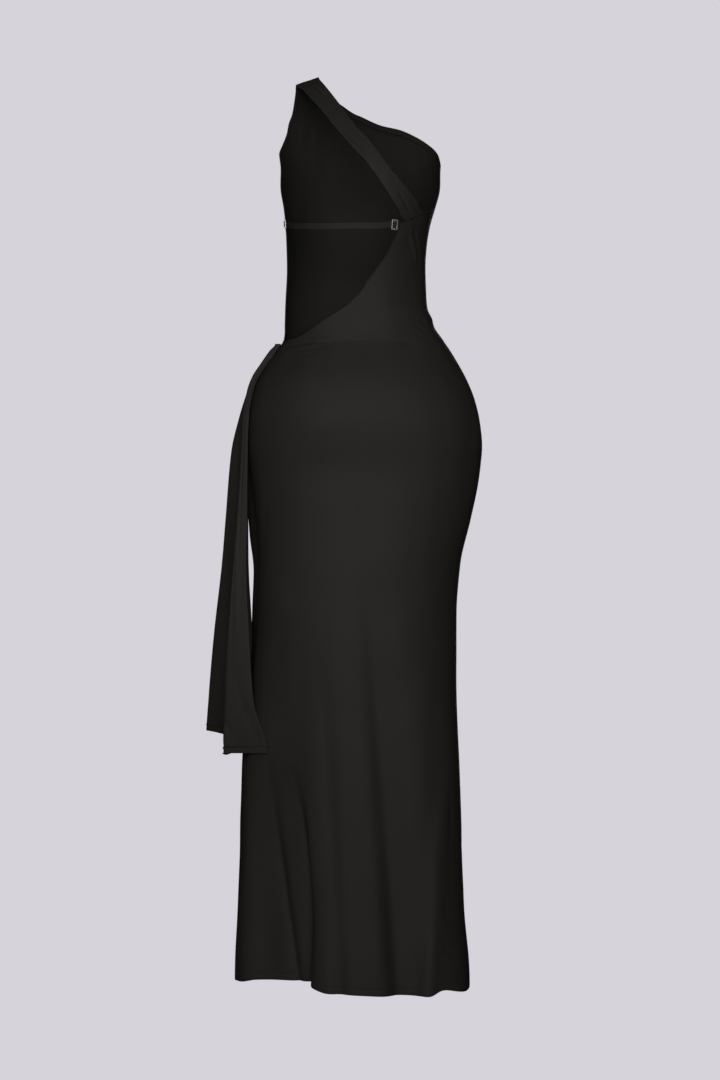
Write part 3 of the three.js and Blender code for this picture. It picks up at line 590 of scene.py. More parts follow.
def press(points, path, depth, half, fade):
    """How far one crease presses each point of a grid inwards."""
    flat = points.reshape(-1, 3)
    pushed = np.zeros(len(flat))
    reach = 3 * half
    low, high = path.min(0) - reach, path.max(0) + reach
    near = np.all((flat > low) & (flat < high), axis=1)
    if near.any():
        distance, share = nearest(flat[near], path)
        ends = smoothstep(0, fade, share) * smoothstep(0, fade, 1 - share)
        pushed[near] = depth * ends * bell(distance / half)
    return pushed.reshape(points.shape[:2])


CREASE_POINTS = np.linspace(0, 1, 17)


def creases(points):
    """How far the creases press each point of the body inwards."""
    pushed = np.zeros(points.shape[:2])
    for rows, side in ((BACK_CREASES, 1), (FRONT_CREASES, -1), (SIDE_CREASES, 0)):
        for x0, z0, x1, z1, x2, z2, depth, half, fade in zip(*rows.values()):
            across = bezier(CREASE_POINTS, x0, x1, x2)
            z = bezier(CREASE_POINTS, z0, z1, z2)
            turn = turn_of(across, z, side) if side else across
            pushed += press(points, place(turn, level_of(across if side else 0 * z, z)), depth, half, fade)
    return pushed


RIPPLE_SEED = 11
RIPPLE_COLUMNS, RIPPLE_ROWS, RIPPLE_LENGTH = 26, 22, 1450
RIPPLE_GRID = np.random.default_rng(RIPPLE_SEED).uniform(-1, 1, (RIPPLE_ROWS, RIPPLE_COLUMNS))


def ripple(turn, level):
    """Soft uneven swell of the cloth, from -1 to 1, the same where the turn closes on itself."""
    u = np.mod(turn, 360) / 360 * RIPPLE_COLUMNS
    v = np.clip(-level / RIPPLE_LENGTH, 0, 0.999) * (RIPPLE_ROWS - 1)
    i, j = np.floor(u).astype(int), np.floor(v).astype(int)
    a, b = smoothstep(0, 1, u - i), smoothstep(0, 1, v - j)
    i, k = i % RIPPLE_COLUMNS, (i + 1) % RIPPLE_COLUMNS
    upper = lerp(RIPPLE_GRID[j, i], RIPPLE_GRID[j, k], a)
    lower = lerp(RIPPLE_GRID[j + 1, i], RIPPLE_GRID[j + 1, k], a)
    return lerp(upper, lower, b)


# Height of the swell on each part, and the levels between which the skirt's takes over from the bodice's
RIPPLE_SKIRT, RIPPLE_BODICE, RIPPLE_STRAP = 0.9, 0.45, 0.3
RIPPLE_BODICE_END, RIPPLE_SKIRT_START = -380, -640
RIPPLE_STRAP_SCALE = 3

# Depth and half width of the stitched groove, the rolled rim and the drawn-in seam, and the hem's inner step
GROOVE, GROOVE_HALF = 0.2, 0.8
EDGE_ROLL, EDGE_ROLL_HALF = 0.25, 1.4
SEAM_ROLL, SEAM_ROLL_HALF = 0.6, 1.3
HEM_STEP = 0.8


def hem_offset(edge, seam, allowance):
    """Outer face beside a turned edge or a seam: a stitched groove, a rolled rim, and a seam drawn in."""
    groove = GROOVE * bell((edge - allowance) / GROOVE_HALF)
    return -groove - EDGE_ROLL * bell(edge / EDGE_ROLL_HALF) - SEAM_ROLL * bell(seam / SEAM_ROLL_HALF)


def hem_thickness(edge, allowance):
    return CLOTH + HEM_LAYER * (1 - smoothstep(allowance, allowance + HEM_STEP, edge))


FAR = 1e3


def wall(name, base, push, flip, down, edge, hem=FAR, seam=FAR):
    """Cloth on a grid of points, pushed in, with each point's distance from an edge, the hem and a seam: the
    piece, its outer face, and the directions that this faces."""
    offset = hem_offset(edge, seam, EDGE_HEM) + hem_offset(hem, FAR, SKIRT_HEM) - push - INSET
    thick = np.maximum(hem_thickness(edge, EDGE_HEM), hem_thickness(hem, SKIRT_HEM))
    outer = base + grid_normals(base, flip) * offset[..., None]
    facing = grid_normals(outer, flip)
    inner = outer - facing * thick[..., None]
    uv = np.stack(np.broadcast_arrays(along_rows(base), down), axis=-1)
    return shell(name, outer, inner, flip, uv), outer, facing


def body_wall(name, turn, level, flip, edge, hem, seam):
    """Panel on the form, with its swell and creases."""
    base = place(turn, level)
    base[..., 0] += lip(base[..., 0], level, -flip)
    on_skirt = smoothstep(RIPPLE_BODICE_END, RIPPLE_SKIRT_START, level)
    swell = lerp(RIPPLE_BODICE, RIPPLE_SKIRT, on_skirt) * ripple(turn, level)
    return wall(name, base, creases(base) - swell, flip, level, edge, hem, seam)


# Front and back panels


def skirt_level(row, turn):
    """Level of a row below the waist, stretched so that the last row is the hem."""
    x = place(turn, row)[..., 0]
    hem = np.where(turn >= 0, smooth(HEM_BACK, "x", "z", x), smooth(HEM_FRONT, "x", "z", x))
    share = (row - LAST_LEVEL_ROW) / (HEM_LEVEL - LAST_LEVEL_ROW)
    return np.where(row > LAST_LEVEL_ROW, row, lerp(LAST_LEVEL_ROW, hem, share))


ARMHOLE_TURNS = {
    "z": np.concatenate([ARMHOLE["z"], ARMHOLE_FOOT["z"]]),
    "turn": np.concatenate([turn_of(ARMHOLE["x"], ARMHOLE["z"], -1), ARMHOLE_FOOT["turn"]]),
}
STRAP_LOW_TURN = turn_of(STRAP["lowX"][0], STRAP["lowZ"][0], -1)
STRAP_HIGH_TURN = turn_of(STRAP["highX"][0], STRAP["highZ"][0], -1)
SEAM_DROP = 0.19
FRONT_TOP_LEVEL = STRAP_SEAM_LEVEL - SEAM_DROP
neck_turns = turn_of(NECKLINE["x"], NECKLINE["z"], -1)
neck_levels = level_of(NECKLINE["x"], NECKLINE["z"])
neck_turns[0], neck_levels[0] = STRAP_HIGH_TURN, FRONT_TOP_LEVEL
NECK_EDGE = {
    "share": np.concatenate([NECKLINE["share"], [(1 + NECKLINE["share"][-1]) / 2, 1]]),
    "turn": np.concatenate([neck_turns, [(neck_turns[-1] + UNDERARM_TURN) / 2, UNDERARM_TURN]]),
    "level": np.concatenate([neck_levels, [NECKLINE_LAST_LEVEL, UNDERARM_FRONT]]),
}


def front_top(u):
    """Turn and level of the front's top edge: the strap's seam, then the neckline."""
    seam = u <= STRAP_SHARE
    share = np.clip((u - STRAP_SHARE) / (1 - STRAP_SHARE), 0, 1)
    turn = np.where(
        seam,
        lerp(STRAP_LOW_TURN, STRAP_HIGH_TURN, u / STRAP_SHARE),
        smooth(NECK_EDGE, "share", "turn", share),
    )
    return turn, np.where(seam, FRONT_TOP_LEVEL, smooth(NECK_EDGE, "share", "level", share))


def front_place(down, u):
    """Turn and level on the front; down is 0 at the top edge, 1 at the waist and 2 at the hem."""
    v = np.clip(down, 0, 1)
    top_turn, top_level = front_top(u)
    armhole = smooth(ARMHOLE_TURNS, "z", "turn", lerp(FRONT_TOP_LEVEL, WAIST, v)) - (1 - v) * STRAP_LOW_TURN
    turn = (1 - v) * top_turn - v * 180 * u + (1 - u) * armhole * (v < 1)
    row = lerp(UNDERARM_FRONT, WAIST, v)
    side_turn = lerp(UNDERARM_TURN, -180, smoothstep(UNDERARM_FRONT, UNDERARM_SEAM, row))
    plain_turn = lerp(UNDERARM_TURN, -180, v)
    turn = turn + (side_turn - plain_turn) * smoothstep(UNDERARM_BLEND, 1, u) * (v < 1)
    skirt_row = lerp(WAIST, HEM_LEVEL, np.clip(down - 1, 0, 1))
    level = np.where(down < 1, lerp(top_level, WAIST, v), skirt_level(skirt_row, turn))
    return turn, level


def rows_down(near, upper, upper_length):
    """Rows from 0 at the top edge through 1 at the waist to 2 at the hem, close together at both edges."""
    top = near / upper_length
    last = 2 - HEM_STEPS[::-1] / (WAIST - HEM_LEVEL)
    above = np.linspace(top[-1], 1, upper + 1)[1:]
    return np.concatenate([top, above, np.linspace(1, last[0], SKIRT_ROWS + 1)[1:], last[1:]])


def above_hem(turn, level, down):
    """Height of each place above the skirt's hem."""
    return level - skirt_level(np.full_like(level, HEM_LEVEL), turn) + np.where(down < 1.5, FAR, 0)


def front_panel():
    downs = rows_down(EDGE_STEPS, UPPER_ROWS, FRONT_UPPER_LENGTH)
    left = even_shares(downs, front_place, 0, STRAP_SHARE, EDGE_STEPS, FRONT_STRAP_COLUMNS)
    right = even_shares(downs, front_place, STRAP_SHARE, 1, np.zeros(1), FRONT_NECK_COLUMNS)
    u = np.concatenate([left, right[:, 1:]], axis=1)
    down = np.broadcast_to(downs[:, None], u.shape)
    turn, level = front_place(down, u)
    base = place(turn, level)
    gone = along_rows(base)
    off_neck = (u < STRAP_SHARE) | (down >= 1)
    neck = np.abs(front_top(u)[1] - level) * NECKLINE_SLANT + np.where(off_neck, FAR, 0)
    arm = gone + np.where(down >= 1, FAR, 0)
    to_right = gone[:, -1:] - gone
    row = lerp(UNDERARM_FRONT, WAIST, np.clip(down, 0, 1))
    right_arm = to_right + np.where((row < UNDERARM_SEAM) | (down >= 1), FAR, 0)
    edge = np.minimum(np.minimum(neck, arm), right_arm)
    hem = above_hem(turn, level, down)
    seam = np.minimum(gone + np.where(down < 1, FAR, 0), to_right + np.where(row > UNDERARM_SEAM, FAR, 0))
    return body_wall("front", turn, level, 1, edge, hem, seam)


BACK_EDGE = {
    "share": np.concatenate([OPENING["share"], [1]]),
    "turn": np.concatenate([turn_of(OPENING["x"], OPENING["z"], 1), [0]]),
    "level": np.concatenate([OPENING["z"], [WAIST]]),
}


def back_place(down, share):
    """Turn and level on the back, from the open edge or left seam to the right seam."""
    v = np.clip(down, 0, 1)
    row = lerp(UNDERARM_SEAM, WAIST, v)
    edge_turn = smooth(BACK_EDGE, "share", "turn", v)
    edge_level = smooth(BACK_EDGE, "share", "level", v)
    turn = lerp(np.where(down < 1, edge_turn, 0), 180, share)
    upper = lerp(edge_level, row, np.maximum(share, 0) ** lerp(TOP_EDGE_BOW, 1, v))
    skirt_row = lerp(WAIST, HEM_LEVEL, np.clip(down - 1, 0, 1))
    return turn, np.where(down < 1, upper, skirt_level(skirt_row, turn))


def back_panel():
    downs = rows_down(EDGE_STEPS, BACK_UPPER_ROWS, BACK_UPPER_LENGTH)
    share = even_shares(downs, back_place, 0, 1, EDGE_STEPS, BACK_COLUMNS)
    down = np.broadcast_to(downs[:, None], share.shape)
    turn, level = back_place(down, share)
    base = place(turn, level)
    gone = along_rows(base)
    opening = gone + np.where(down >= 1, FAR, 0)
    top = down * (UNDERARM_SEAM - WAIST) + np.where(down > 0.5, FAR, 0)
    edge = np.minimum(opening, top)
    hem = above_hem(turn, level, down)
    to_right = gone[:, -1:] - gone
    seam = np.minimum(gone + np.where(down < 1, FAR, 0), to_right)
    return body_wall("back", turn, level, -1, edge, hem, seam)


# Shoulder strap


def back_top_level(turn):
    corner = smooth(BACK_EDGE, "share", "turn", 0.0)
    share = (turn - corner) / (180 - corner)
    return back_place(np.zeros_like(turn), share)[1]


def strap_edges():
    """Each edge by row: turn, and the square root of its drop from the crest, below nothing at the front."""
    row = np.arange(len(STRAP["side"]) + 1)
    edges = {"row": row.astype(float)}
    for name, foot_turn in zip(("low", "high"), STRAP_FOOT):
        x, z, side = STRAP[name + "X"], STRAP[name + "Z"], STRAP["side"]
        turn = np.abs(turn_of(x, z, side))
        level = level_of(x, z)
        level[0] = STRAP_SEAM_LEVEL
        foot_level = back_top_level(np.array([foot_turn]))[0] + 2 * SEAM
        edges[name + "Turn"] = np.append(turn, foot_turn)
        edges[name + "Root"] = np.append(side * np.sqrt(-level), np.sqrt(-foot_level))
    return edges


STRAP_EDGES = strap_edges()
STRAP_ROWS = 210
STRAP_COLUMNS = 40
STRAP_EDGE_COLUMN = 7


def strap_place(row, across):
    """Turn and level on the strap, at a row of its table and a share of the way across."""
    value = {name: smooth(STRAP_EDGES, "row", name, row) for name in STRAP_EDGES if name != "row"}
    turn = lerp(value["lowTurn"], value["highTurn"], across)
    root = lerp(value["lowRoot"], value["highRoot"], across)
    level = -root * root
    last = len(STRAP["side"])
    foot = back_top_level(turn) + 2 * SEAM
    level = np.where(root > 0, lerp(level, foot, smoothstep(last - 1, last, row)), level)
    return np.where(root < 0, -turn, turn), level


def shoulder_strap():
    rows = np.linspace(0, len(STRAP["side"]), STRAP_ROWS + 1)
    row, across = np.meshgrid(rows, np.linspace(0, 1, STRAP_COLUMNS + 1), indexing="ij")
    turn, level = strap_place(row, across)
    base = place(turn, level)
    gone = along_rows(base)
    push = -RIPPLE_STRAP * ripple(turn * RIPPLE_STRAP_SCALE, level * RIPPLE_STRAP_SCALE)
    for row0, across0, row1, across1, depth, half, fade in zip(*STRAP_CREASES.values()):
        path = strap_place(lerp(row0, row1, CREASE_POINTS), lerp(across0, across1, CREASE_POINTS))
        push += press(base, place(*path), depth, half, fade)
    edge = np.minimum(gone, gone[:, -1:] - gone)
    return wall("shoulder_strap_cloth", base, push, -1, -along(base[:, 0])[:, None], edge)


# Thin strap and the sliders on it


def turn_along(turn, level, distance):
    """Turn that lies a distance further round than another."""
    reach = np.sign(distance) * np.linspace(0, 40, 401)
    line = place(turn + reach, np.full_like(reach, level))
    return turn + np.interp(abs(distance), along(line), reach)


def spot(turn, level, out):
    """Point some way off the dress's face, the outward direction there, and up along the face."""
    around = place(turn + 0.5, level) - place(turn - 0.5, level)
    down = place(turn, level - 1) - place(turn, np.minimum(0, level + 1))
    facing = unit(np.cross(down, around))
    return place(turn, level) + facing * out, facing, unit(np.array([0, 0, 1.0]) - facing * facing[2])


def slider_frame(turn, level):
    """Middle of a slider on the dress, its outward direction, the way round the body, and up."""
    middle, facing, up = spot(turn, level, -SLIDER_INSIDE)
    return middle, facing, np.cross(up, facing), up


BAND_COLUMNS = 14
BAND_CORNER, BAND_RIM = 5, 0.02
RIDGE, RIDGE_AT, RIDGE_HALF = 0.14, 0.78, 0.14


def band(name, path):
    """Flat band along spots, with full edges like a turned and pressed strap."""
    points, facing, wide = (np.array(part) for part in zip(*path))
    across = np.sin(np.linspace(-0.5, 0.5, BAND_COLUMNS + 1) * math.pi)
    bulge = (BAND / 2) * np.sqrt(np.clip(1 - np.abs(across) ** BAND_CORNER, BAND_RIM, 1))
    ridge = RIDGE * bell((np.abs(across) - RIDGE_AT) / RIDGE_HALF)
    middle = points[:, None] + wide[:, None] * (across * THIN_STRAP_WIDTH / 2)[None, :, None]
    outer = middle + facing[:, None] * (bulge + ridge)[None, :, None]
    inner = middle - facing[:, None] * bulge[None, :, None]
    uv = np.stack(np.broadcast_arrays(across * THIN_STRAP_WIDTH / 2, along(points)[:, None]), axis=-1)
    sample = np.cross(middle[0, 1] - middle[0, 0], middle[1, 0] - middle[0, 0])
    flip = 1 if sample @ facing[0] > 0 else -1
    return shell(name, outer, inner, flip, uv)


LEFT_TURN = turn_along(0, SLIDER_LEFT_LEVEL, SLIDER_LEFT_FROM_EDGE)
slider_left = slider_frame(LEFT_TURN, SLIDER_LEFT_LEVEL)
slider_right = slider_frame(SLIDER_RIGHT_TURN, SLIDER_RIGHT_LEVEL)
STRAP_RUN_STEPS = 60
WEAVE_STEPS = 70


def through(points, share):
    """Place on a smooth curve through points, at a share of their count."""
    last = len(points) - 1
    at = np.clip(share, 0, 1) * last
    i = np.minimum(np.floor(at).astype(int), last - 1)
    t = (at - i)[..., None]
    columns = np.arange(points.shape[1])[:, None]
    p0, p1 = points[np.maximum(i - 1, 0), columns], points[i, columns]
    p2, p3 = points[i + 1, columns], points[np.minimum(i + 2, last), columns]
    v0, v1 = (p2 - p0) / 2, (p3 - p1) / 2
    t2, t3 = t * t, t * t * t
    return (2 * p1 - 2 * p2 + v0 + v1) * t3 + (-3 * p1 + 3 * p2 - 2 * v0 - v1) * t2 + v0 * t + p1


def woven(slider):
    """The strap's way through a slider: under one outer bar, over the middle bar and under the other."""
    middle, facing, around, up = slider
    along = np.concatenate([-WEAVE["along"][:0:-1], WEAVE["along"]])
    out = np.concatenate([WEAVE["out"][:0:-1], WEAVE["out"]])
    curve = through(np.stack([along, out], -1)[:, None], np.linspace(0, 1, WEAVE_STEPS)[None])[0]
    way = unit(np.gradient(curve, axis=0))
    return [
        (middle + around * x + facing * y, facing * way_x - around * way_y, up)
        for (x, y), (way_x, way_y) in zip(curve, way)
    ]


def thin_strap():
    """Strap sewn under the front's edge, threaded through both sliders and sewn under the back's corner."""

    def level(turn):
        return smooth(THIN_STRAP, "turn", "z", turn)

    def under(edge, side):
        last = turn_along(edge, level(edge), side * UNDER_PANEL)
        first = turn_along(edge, level(edge), -side * BESIDE_EDGE)
        return [
            spot(last, level(last), -UNDER_PANEL_INSIDE - UNDER_PANEL_DIP),
            spot((first + last) / 2, level(first), -UNDER_PANEL_INSIDE - UNDER_PANEL_DIP / 2),
            spot(first, level(first), -UNDER_PANEL_INSIDE),
        ]

    clear = SLIDER_WIDTH / 2 + SLIDER_CLEAR
    start = turn_along(LEFT_TURN, SLIDER_LEFT_LEVEL, clear)
    end = turn_along(SLIDER_RIGHT_TURN, SLIDER_RIGHT_LEVEL, -clear)
    corner = float(BACK_EDGE["turn"][0])
    turns = np.linspace(start, end, STRAP_RUN_STEPS)
    run = [spot(turn, level(turn), -THIN_STRAP_INSIDE) for turn in turns]
    path = under(0, -1) + woven(slider_left) + run + woven(slider_right) + under(corner, 1)[::-1]
    return band("thin_strap", path)


def slider_plate(name, slider):
    """Flat metal frame with two slots, with rounded edges."""
    middle, facing, around, up = slider
    xs = [-SLIDER_WIDTH / 2, SLIDER_WIRE - SLIDER_WIDTH / 2, -SLIDER_BAR / 2]
    ys = [-SLIDER_HEIGHT / 2, SLIDER_WIRE - SLIDER_HEIGHT / 2]
    xs, ys = xs + [-x for x in reversed(xs)], ys + [-y for y in reversed(ys)]
    points = []
    for z in (SLIDER_THICK / 2, -SLIDER_THICK / 2):
        for row, y in enumerate(ys):
            for column, x in enumerate(xs):
                cut = SLIDER_BLUNT if column in (0, 5) and row in (0, 3) else 0
                dx, dy = x - math.copysign(cut, x), y - math.copysign(cut, y)
                points.append(middle + around * dx + up * dy + facing * z)
    filled = {(c, r) for c in range(5) for r in range(3)} - {(1, 1), (3, 1)}
    faces = []
    for c, r in sorted(filled):
        a, b, d, e = r * 6 + c, r * 6 + c + 1, r * 6 + c + 7, r * 6 + c + 6
        faces += [(a, b, d, e), (a + 24, e + 24, d + 24, b + 24)]
        for (dc, dr), (p, q) in {(0, -1): (a, b), (1, 0): (b, d), (0, 1): (d, e), (-1, 0): (e, a)}.items():
            if (c + dc, r + dr) not in filled:
                faces.append((p, p + 24, q + 24, q))
    made = new_object(name, points, faces)
    bevel = made.modifiers.new("rounded", "BEVEL")
    bevel.width = SLIDER_BEVEL * MM
    bevel.segments = 3
    bevel.limit_method = "ANGLE"
    return made


# Sash

SASH_MESH_ROWS = 300
SASH_ROWS_END = 0.985
SASH_STEPS = 12
SASH_SEGMENTS = 10
SASH_EDGE_COLUMN = 4
CREASE_WANDER, CREASE_WAVES, CREASE_PHASE = 0.012, 5, 9


def sash_section(z):
    """Points of the Z fold at some levels, from its near free edge to its far one."""
    free, fold, turn, far = (
        np.stack([smooth(SASH, "z", name + axis, z) for axis in "XY"], -1)
        for name in ("free", "fold", "turn", "far")
    )
    bend = PLY_BEND / 2
    fold_back, turn_back = fold - (0, PLY_BEND), turn - (0, PLY_BEND)
    fold_tip, turn_tip = fold + (bend, -bend), turn - (bend, bend)
    points = [free, (free + fold) / 2, fold, fold_tip, fold_back, (fold_back + turn) / 2]
    return np.stack(points + [turn, turn_tip, turn_back, (turn_back + far) / 2, far])


def side_sash():
    shares = np.linspace(0, 1, SASH_STEPS * SASH_SEGMENTS + 1)
    foot = smooth(SASH_HEM, "share", "z", shares)
    near_hem = 1 - HEM_STEPS[:-1][::-1] / SASH_LENGTH
    rows = np.concatenate([np.linspace(0, SASH_ROWS_END, SASH_MESH_ROWS), near_hem])
    z = lerp(SASH_TOP, foot[None, :], rows[:, None])
    share = np.broadcast_to(shares[None, :], z.shape)
    base = np.empty(z.shape + (3,))
    for column in range(z.shape[1]):
        points = through(sash_section(z[:, column]), share[:, column][:, None])
        base[:, column, :2] = points[:, 0]
        base[:, column, 2] = z[:, column]
    push = np.zeros(z.shape)
    for middle, lean, start, stop, depth, half in zip(*SASH_CREASES.values()):
        t = np.clip((z - start) / (stop - start), 0, 1)
        drift = lean * (t - 0.5) + CREASE_WANDER * np.sin(CREASE_WAVES * t + CREASE_PHASE * middle)
        push += depth * np.sin(np.pi * t) * bell((share - middle - drift) / half)
    gone = along_rows(base)
    edge = np.minimum(gone, gone[:, -1:] - gone)
    return wall("sash", base, push, 1, z, edge, z - foot[None, :])


# Materials


def new_material(name):
    """A material, its node tree and its shader."""
    material = bpy.data.materials.new(name)
    material.use_nodes = True
    return material, material.node_tree, material.node_tree.nodes["Principled BSDF"]


def node(tree, kind, settings=(), **inputs):
    """New node with its settings, and its inputs set or linked to other nodes' outputs."""
    made = tree.nodes.new("ShaderNode" + kind)
    for name, value in settings:
        setattr(made, name, value)
    feed(tree, made, **inputs)
    return made


def feed(tree, made, **inputs):
    """Set a node's inputs or link them to outputs."""
    for name, value in inputs.items():
        socket = made.inputs[name.replace("_", " ")]
        if isinstance(value, bpy.types.NodeSocket):
            tree.links.new(value, socket)
        else:
            socket.default_value = value


def spread(tree, value, low, high, **inputs):
    """A noise or wave spread over a range of values."""
    return node(tree, "MapRange", Value=value, To_Min=low, To_Max=high, **inputs).outputs["Result"]


COURSE_SHARE = 0.45
RIB_HEIGHT = 0.00008


def jersey_material(name, base, roughness, specular):
    """Black jersey: fine knit ribs, a satin sheen that is a little uneven down the cloth."""
    material, tree, shader = new_material(name)
    where = node(tree, "TexCoord").outputs["Object"]
    stretched = node(tree, "Mapping", Vector=where, Scale=(1, 1, 0.12)).outputs["Vector"]
    streaks = node(tree, "TexNoise", Vector=stretched, Scale=26, Detail=3, Roughness=0.5).outputs["Fac"]
    tone = spread(tree, streaks, 0.92, 1.08, From_Min=0.3, From_Max=0.7)
    rough = spread(tree, streaks, roughness - 0.04, roughness + 0.04, From_Min=0.3, From_Max=0.7)
    multiply = (("data_type", "RGBA"), ("blend_type", "MULTIPLY"))
    colour = node(tree, "Mix", multiply, Factor=1, A=(*base, 1), B=tone)

    uv = node(tree, "UVMap", [("uv_map", "cloth")]).outputs["UV"]
    ribs = node(tree, "TexWave", [("bands_direction", "X")], Vector=uv, Scale=290, Distortion=1.2, Detail=1)
    courses = node(tree, "TexWave", [("bands_direction", "Y")], Vector=uv, Scale=350, Distortion=0.8)
    knit = node(tree, "Math", [("operation", "MULTIPLY_ADD")])
    tree.links.new(courses.outputs["Fac"], knit.inputs[0])
    knit.inputs[1].default_value = COURSE_SHARE
    tree.links.new(ribs.outputs["Fac"], knit.inputs[2])
    bump = node(tree, "Bump", Height=knit.outputs["Value"], Strength=0.25, Distance=RIB_HEIGHT)

    feed(
        tree, shader, Base_Color=colour.outputs["Result"], Roughness=rough, Normal=bump.outputs["Normal"],
        Specular_IOR_Level=specular, Sheen_Weight=0.01, Sheen_Roughness=0.5, Sheen_Tint=(0.9, 0.88, 0.85, 1),
    )
    return material


def thread_material():
    """Twisted thread a little lighter and darker than the cloth."""
    material, tree, shader = new_material("thread")
    where = node(tree, "TexCoord").outputs["Object"]
    twist = node(tree, "TexWave", [("bands_direction", "DIAGONAL")], Vector=where, Scale=900, Distortion=0.6)
    dark, light = ((*[tone * c for c in JERSEY], 1) for tone in (0.8, 1.3))
    shade = node(tree, "Mix", [("data_type", "RGBA")], Factor=twist.outputs["Fac"], A=dark, B=light)
    feed(tree, shader, Base_Color=shade.outputs["Result"], Roughness=0.5)
    return material


def metal_material():
    """Dull silver with a faint brushed grain."""
    material, tree, shader = new_material("slider_silver")
    where = node(tree, "TexCoord").outputs["Object"]
    stretched = node(tree, "Mapping", Vector=where, Scale=(1, 1, 8)).outputs["Vector"]
    grain = node(tree, "TexNoise", Vector=stretched, Scale=500, Detail=2).outputs["Fac"]
    tint = spread(tree, grain, 0.5, 0.58)
    feed(tree, shader, Roughness=spread(tree, grain, 0.4, 0.52), Base_Color=tint, Metallic=1)
    return material


# Jersey colour, and a darker copy for the inner faces whose darker colour is painted shade for the dress's
# inside; that copy's higher roughness and lower specular give the cloth's duller wrong side.
JERSEY = (0.0252, 0.0244, 0.0231)
JERSEY_INSIDE_SHADED = (0.0185, 0.0179, 0.017)
jersey = jersey_material("jersey_black", JERSEY, 0.6, 0.14)
jersey_inside_painted_shade = jersey_material("jersey_inside_painted_shade", JERSEY_INSIDE_SHADED, 0.68, 0.12)
thread = thread_material()
silver = metal_material()


STITCH_RISE, STITCH_SUNK = 0.55, 0.5


def stitch_row(points, facing):
    """Short stitches along a line on the cloth, as one list of points and one of faces."""
    gone = along(points)
    starts = np.arange(STITCH_PITCH / 2, gone[-1] - STITCH_PITCH, STITCH_PITCH)
    made, faces = [], []
    for start in starts:
        near, middle, far = (
            np.array([np.interp(start + share * STITCH_LENGTH, gone, points[:, k]) for k in range(3)])
            for share in (0, 0.5, 1)
        )
        n = unit(np.array([np.interp(start, gone, facing[:, k]) for k in range(3)]))
        side = unit(np.cross(n, far - near)) * STITCH_WIDTH / 2
        rise = n * STITCH_WIDTH * STITCH_RISE
        first = len(made)
        made += [near - rise * STITCH_SUNK, far - rise * STITCH_SUNK]
        made += [middle + side, middle + rise, middle - side, middle - rise]
        for k in range(4):
            a, b = first + 2 + k, first + 2 + (k + 1) % 4
            faces += [(first, b, a), (first + 1, a, b)]
    return made, faces


def stitches(name, cloth, lines):
    """Stitches along some rows and columns of a cloth's grid, from one index to another."""
    outer, facing = cloth
    points, faces = [], []
    for line in lines:
        made, found = stitch_row(outer[line], facing[line])
        faces += [tuple(i + len(points) for i in face) for face in found]
        points += made
    return new_object(name, points, faces)


front, *front_face = front_panel()
back, *back_face = back_panel()
strap, *strap_face = shoulder_strap()
sash, *sash_face = side_sash()
straps = thin_strap()
plate_left = slider_plate("slider_on_left", slider_left)
plate_right = slider_plate("slider_on_right", slider_right)

EDGE_LINE = int(np.flatnonzero(EDGE_STEPS == EDGE_HEM)[0])
HEM_LINE = -1 - int(np.flatnonzero(HEM_STEPS > SKIRT_HEM)[0])
FRONT_SPLIT = len(EDGE_STEPS) + FRONT_STRAP_COLUMNS - 1
FRONT_WAIST = len(EDGE_STEPS) + UPPER_ROWS - 1
BACK_WAIST = len(EDGE_STEPS) + BACK_UPPER_ROWS - 1
HEM_STITCHES = (HEM_LINE, slice(None))
STRAP_LENGTH, SASH_DOWN = slice(1, -1), slice(4, -6)
front_stitches = stitches("stitches_front", front_face, [
    (EDGE_LINE, slice(FRONT_SPLIT, -3)),
    (slice(EDGE_LINE, FRONT_WAIST), EDGE_LINE),
    HEM_STITCHES,
])
back_stitches = stitches("stitches_back", back_face, [
    (EDGE_LINE, slice(EDGE_LINE, -3)),
    (slice(EDGE_LINE, BACK_WAIST), EDGE_LINE),
    HEM_STITCHES,
])
strap_stitches = stitches("stitches_strap", strap_face, [
    (STRAP_LENGTH, STRAP_EDGE_COLUMN),
    (STRAP_LENGTH, -1 - STRAP_EDGE_COLUMN),
])
sash_stitches = stitches("stitches_sash", sash_face, [
    (SASH_DOWN, SASH_EDGE_COLUMN),
    (SASH_DOWN, -1 - SASH_EDGE_COLUMN),
    HEM_STITCHES,
])
for seam_stitches in (front_stitches, back_stitches, strap_stitches, sash_stitches):
    seam_stitches.data.materials.append(thread)
for plate in (plate_left, plate_right):
    plate.data.materials.append(silver)

pieces = [
    ("front_panel", front, "jersey"),
    ("back_panel", back, "jersey"),
    ("shoulder_strap", strap, "jersey"),
    ("side_sash", sash, "jersey"),
    ("back_strap", straps, "jersey"),
    ("front_panel", front_stitches, "jersey"),
    ("back_panel", back_stitches, "jersey"),
    ("shoulder_strap", strap_stitches, "jersey"),
    ("side_sash", sash_stitches, "jersey"),
    ("slider_left", plate_left, "slider_metal"),
    ("slider_right", plate_right, "slider_metal"),
]
for cad_name, piece, slot in pieces:
    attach(piece, "root")
    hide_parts(cad_name)

# Studio: pale floor and surround, and soft light from beside the camera

CAMERA = (-83.2, 3200, -732.8)
LENS, SENSOR = 66.67, 36
BACKDROP = (0.672, 0.651, 0.701)
LIGHT_COLOUR = (1, 0.98, 0.95)
FLOOR_LEVEL, FLOOR_REACH = -1475, 12000


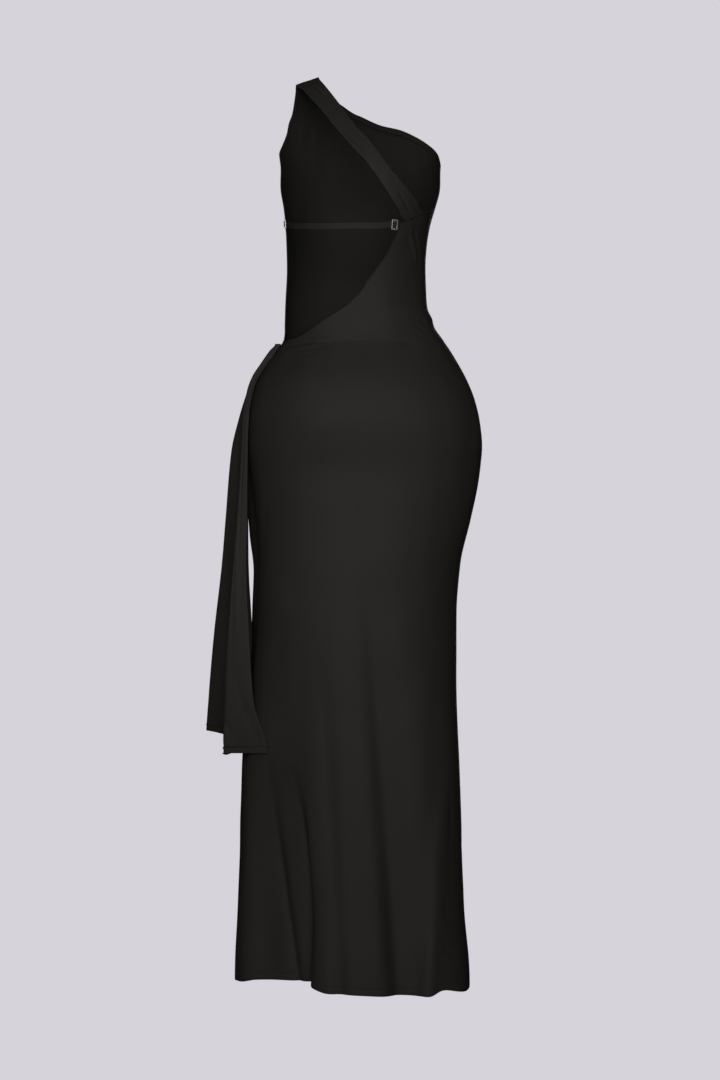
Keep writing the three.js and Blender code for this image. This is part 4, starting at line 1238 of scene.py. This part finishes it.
def add_camera():
    data = bpy.data.cameras.new("camera")
    data.sensor_fit = "VERTICAL"
    data.sensor_height = SENSOR
    data.lens = LENS
    camera = add_object("camera", data)
    camera.location = Vector(CAMERA) * MM
    camera.rotation_euler = (math.radians(90), 0, math.radians(180))
    bpy.context.scene.camera = camera


def add_backdrop():
    """Pale floor that reaches past the camera on every side."""
    corners = np.array([(-1, -1, 0), (1, -1, 0), (1, 1, 0), (-1, 1, 0)]) * FLOOR_REACH + (0, 0, FLOOR_LEVEL)
    floor = new_object("floor", corners, [(0, 1, 2, 3)])
    material, tree, _ = new_material("floor_pale")
    tree.nodes.clear()
    glow = node(tree, "Emission", Color=(*BACKDROP, 1), Strength=1).outputs["Emission"]
    node(tree, "OutputMaterial", Surface=glow)
    floor.data.materials.append(material)
    floor.visible_diffuse = False
    floor.visible_glossy = False


def add_world():
    world = bpy.data.worlds.new("studio")
    bpy.context.scene.world = world
    world.use_nodes = True
    background = world.node_tree.nodes["Background"]
    background.inputs["Color"].default_value = (*BACKDROP, 1)
    background.inputs["Strength"].default_value = 1
    world.cycles_visibility.diffuse = False
    world.cycles_visibility.glossy = False


def add_light(name, place_mm, target, size, power):
    data = bpy.data.lights.new(name, "AREA")
    data.shape = "RECTANGLE"
    data.size, data.size_y = size[0] * MM, size[1] * MM
    data.energy = power
    data.color = LIGHT_COLOUR
    light = add_object(name, data)
    light.location = Vector(place_mm) * MM
    light.rotation_euler = (Vector(target) - Vector(place_mm)).to_track_quat("-Z", "Y").to_euler()


add_camera()
add_backdrop()
add_world()
add_light("key_back", (100, 2500, -150), (-80, 0, -620), (3600, 3200), 24)
add_light("key_camera", (0, 2500, -60), (-80, 0, -620), (1300, 1300), 22)
add_light("key_front", (-300, -2600, -500), (-80, 0, -650), (1400, 2200), 20)
add_light("side_left", (2700, -300, -300), (0, 0, -700), (700, 1500), 1)
add_light("side_right", (-2800, -300, -300), (0, 0, -700), (700, 1500), 1)
bpy.context.scene.view_settings.view_transform = "Standard"
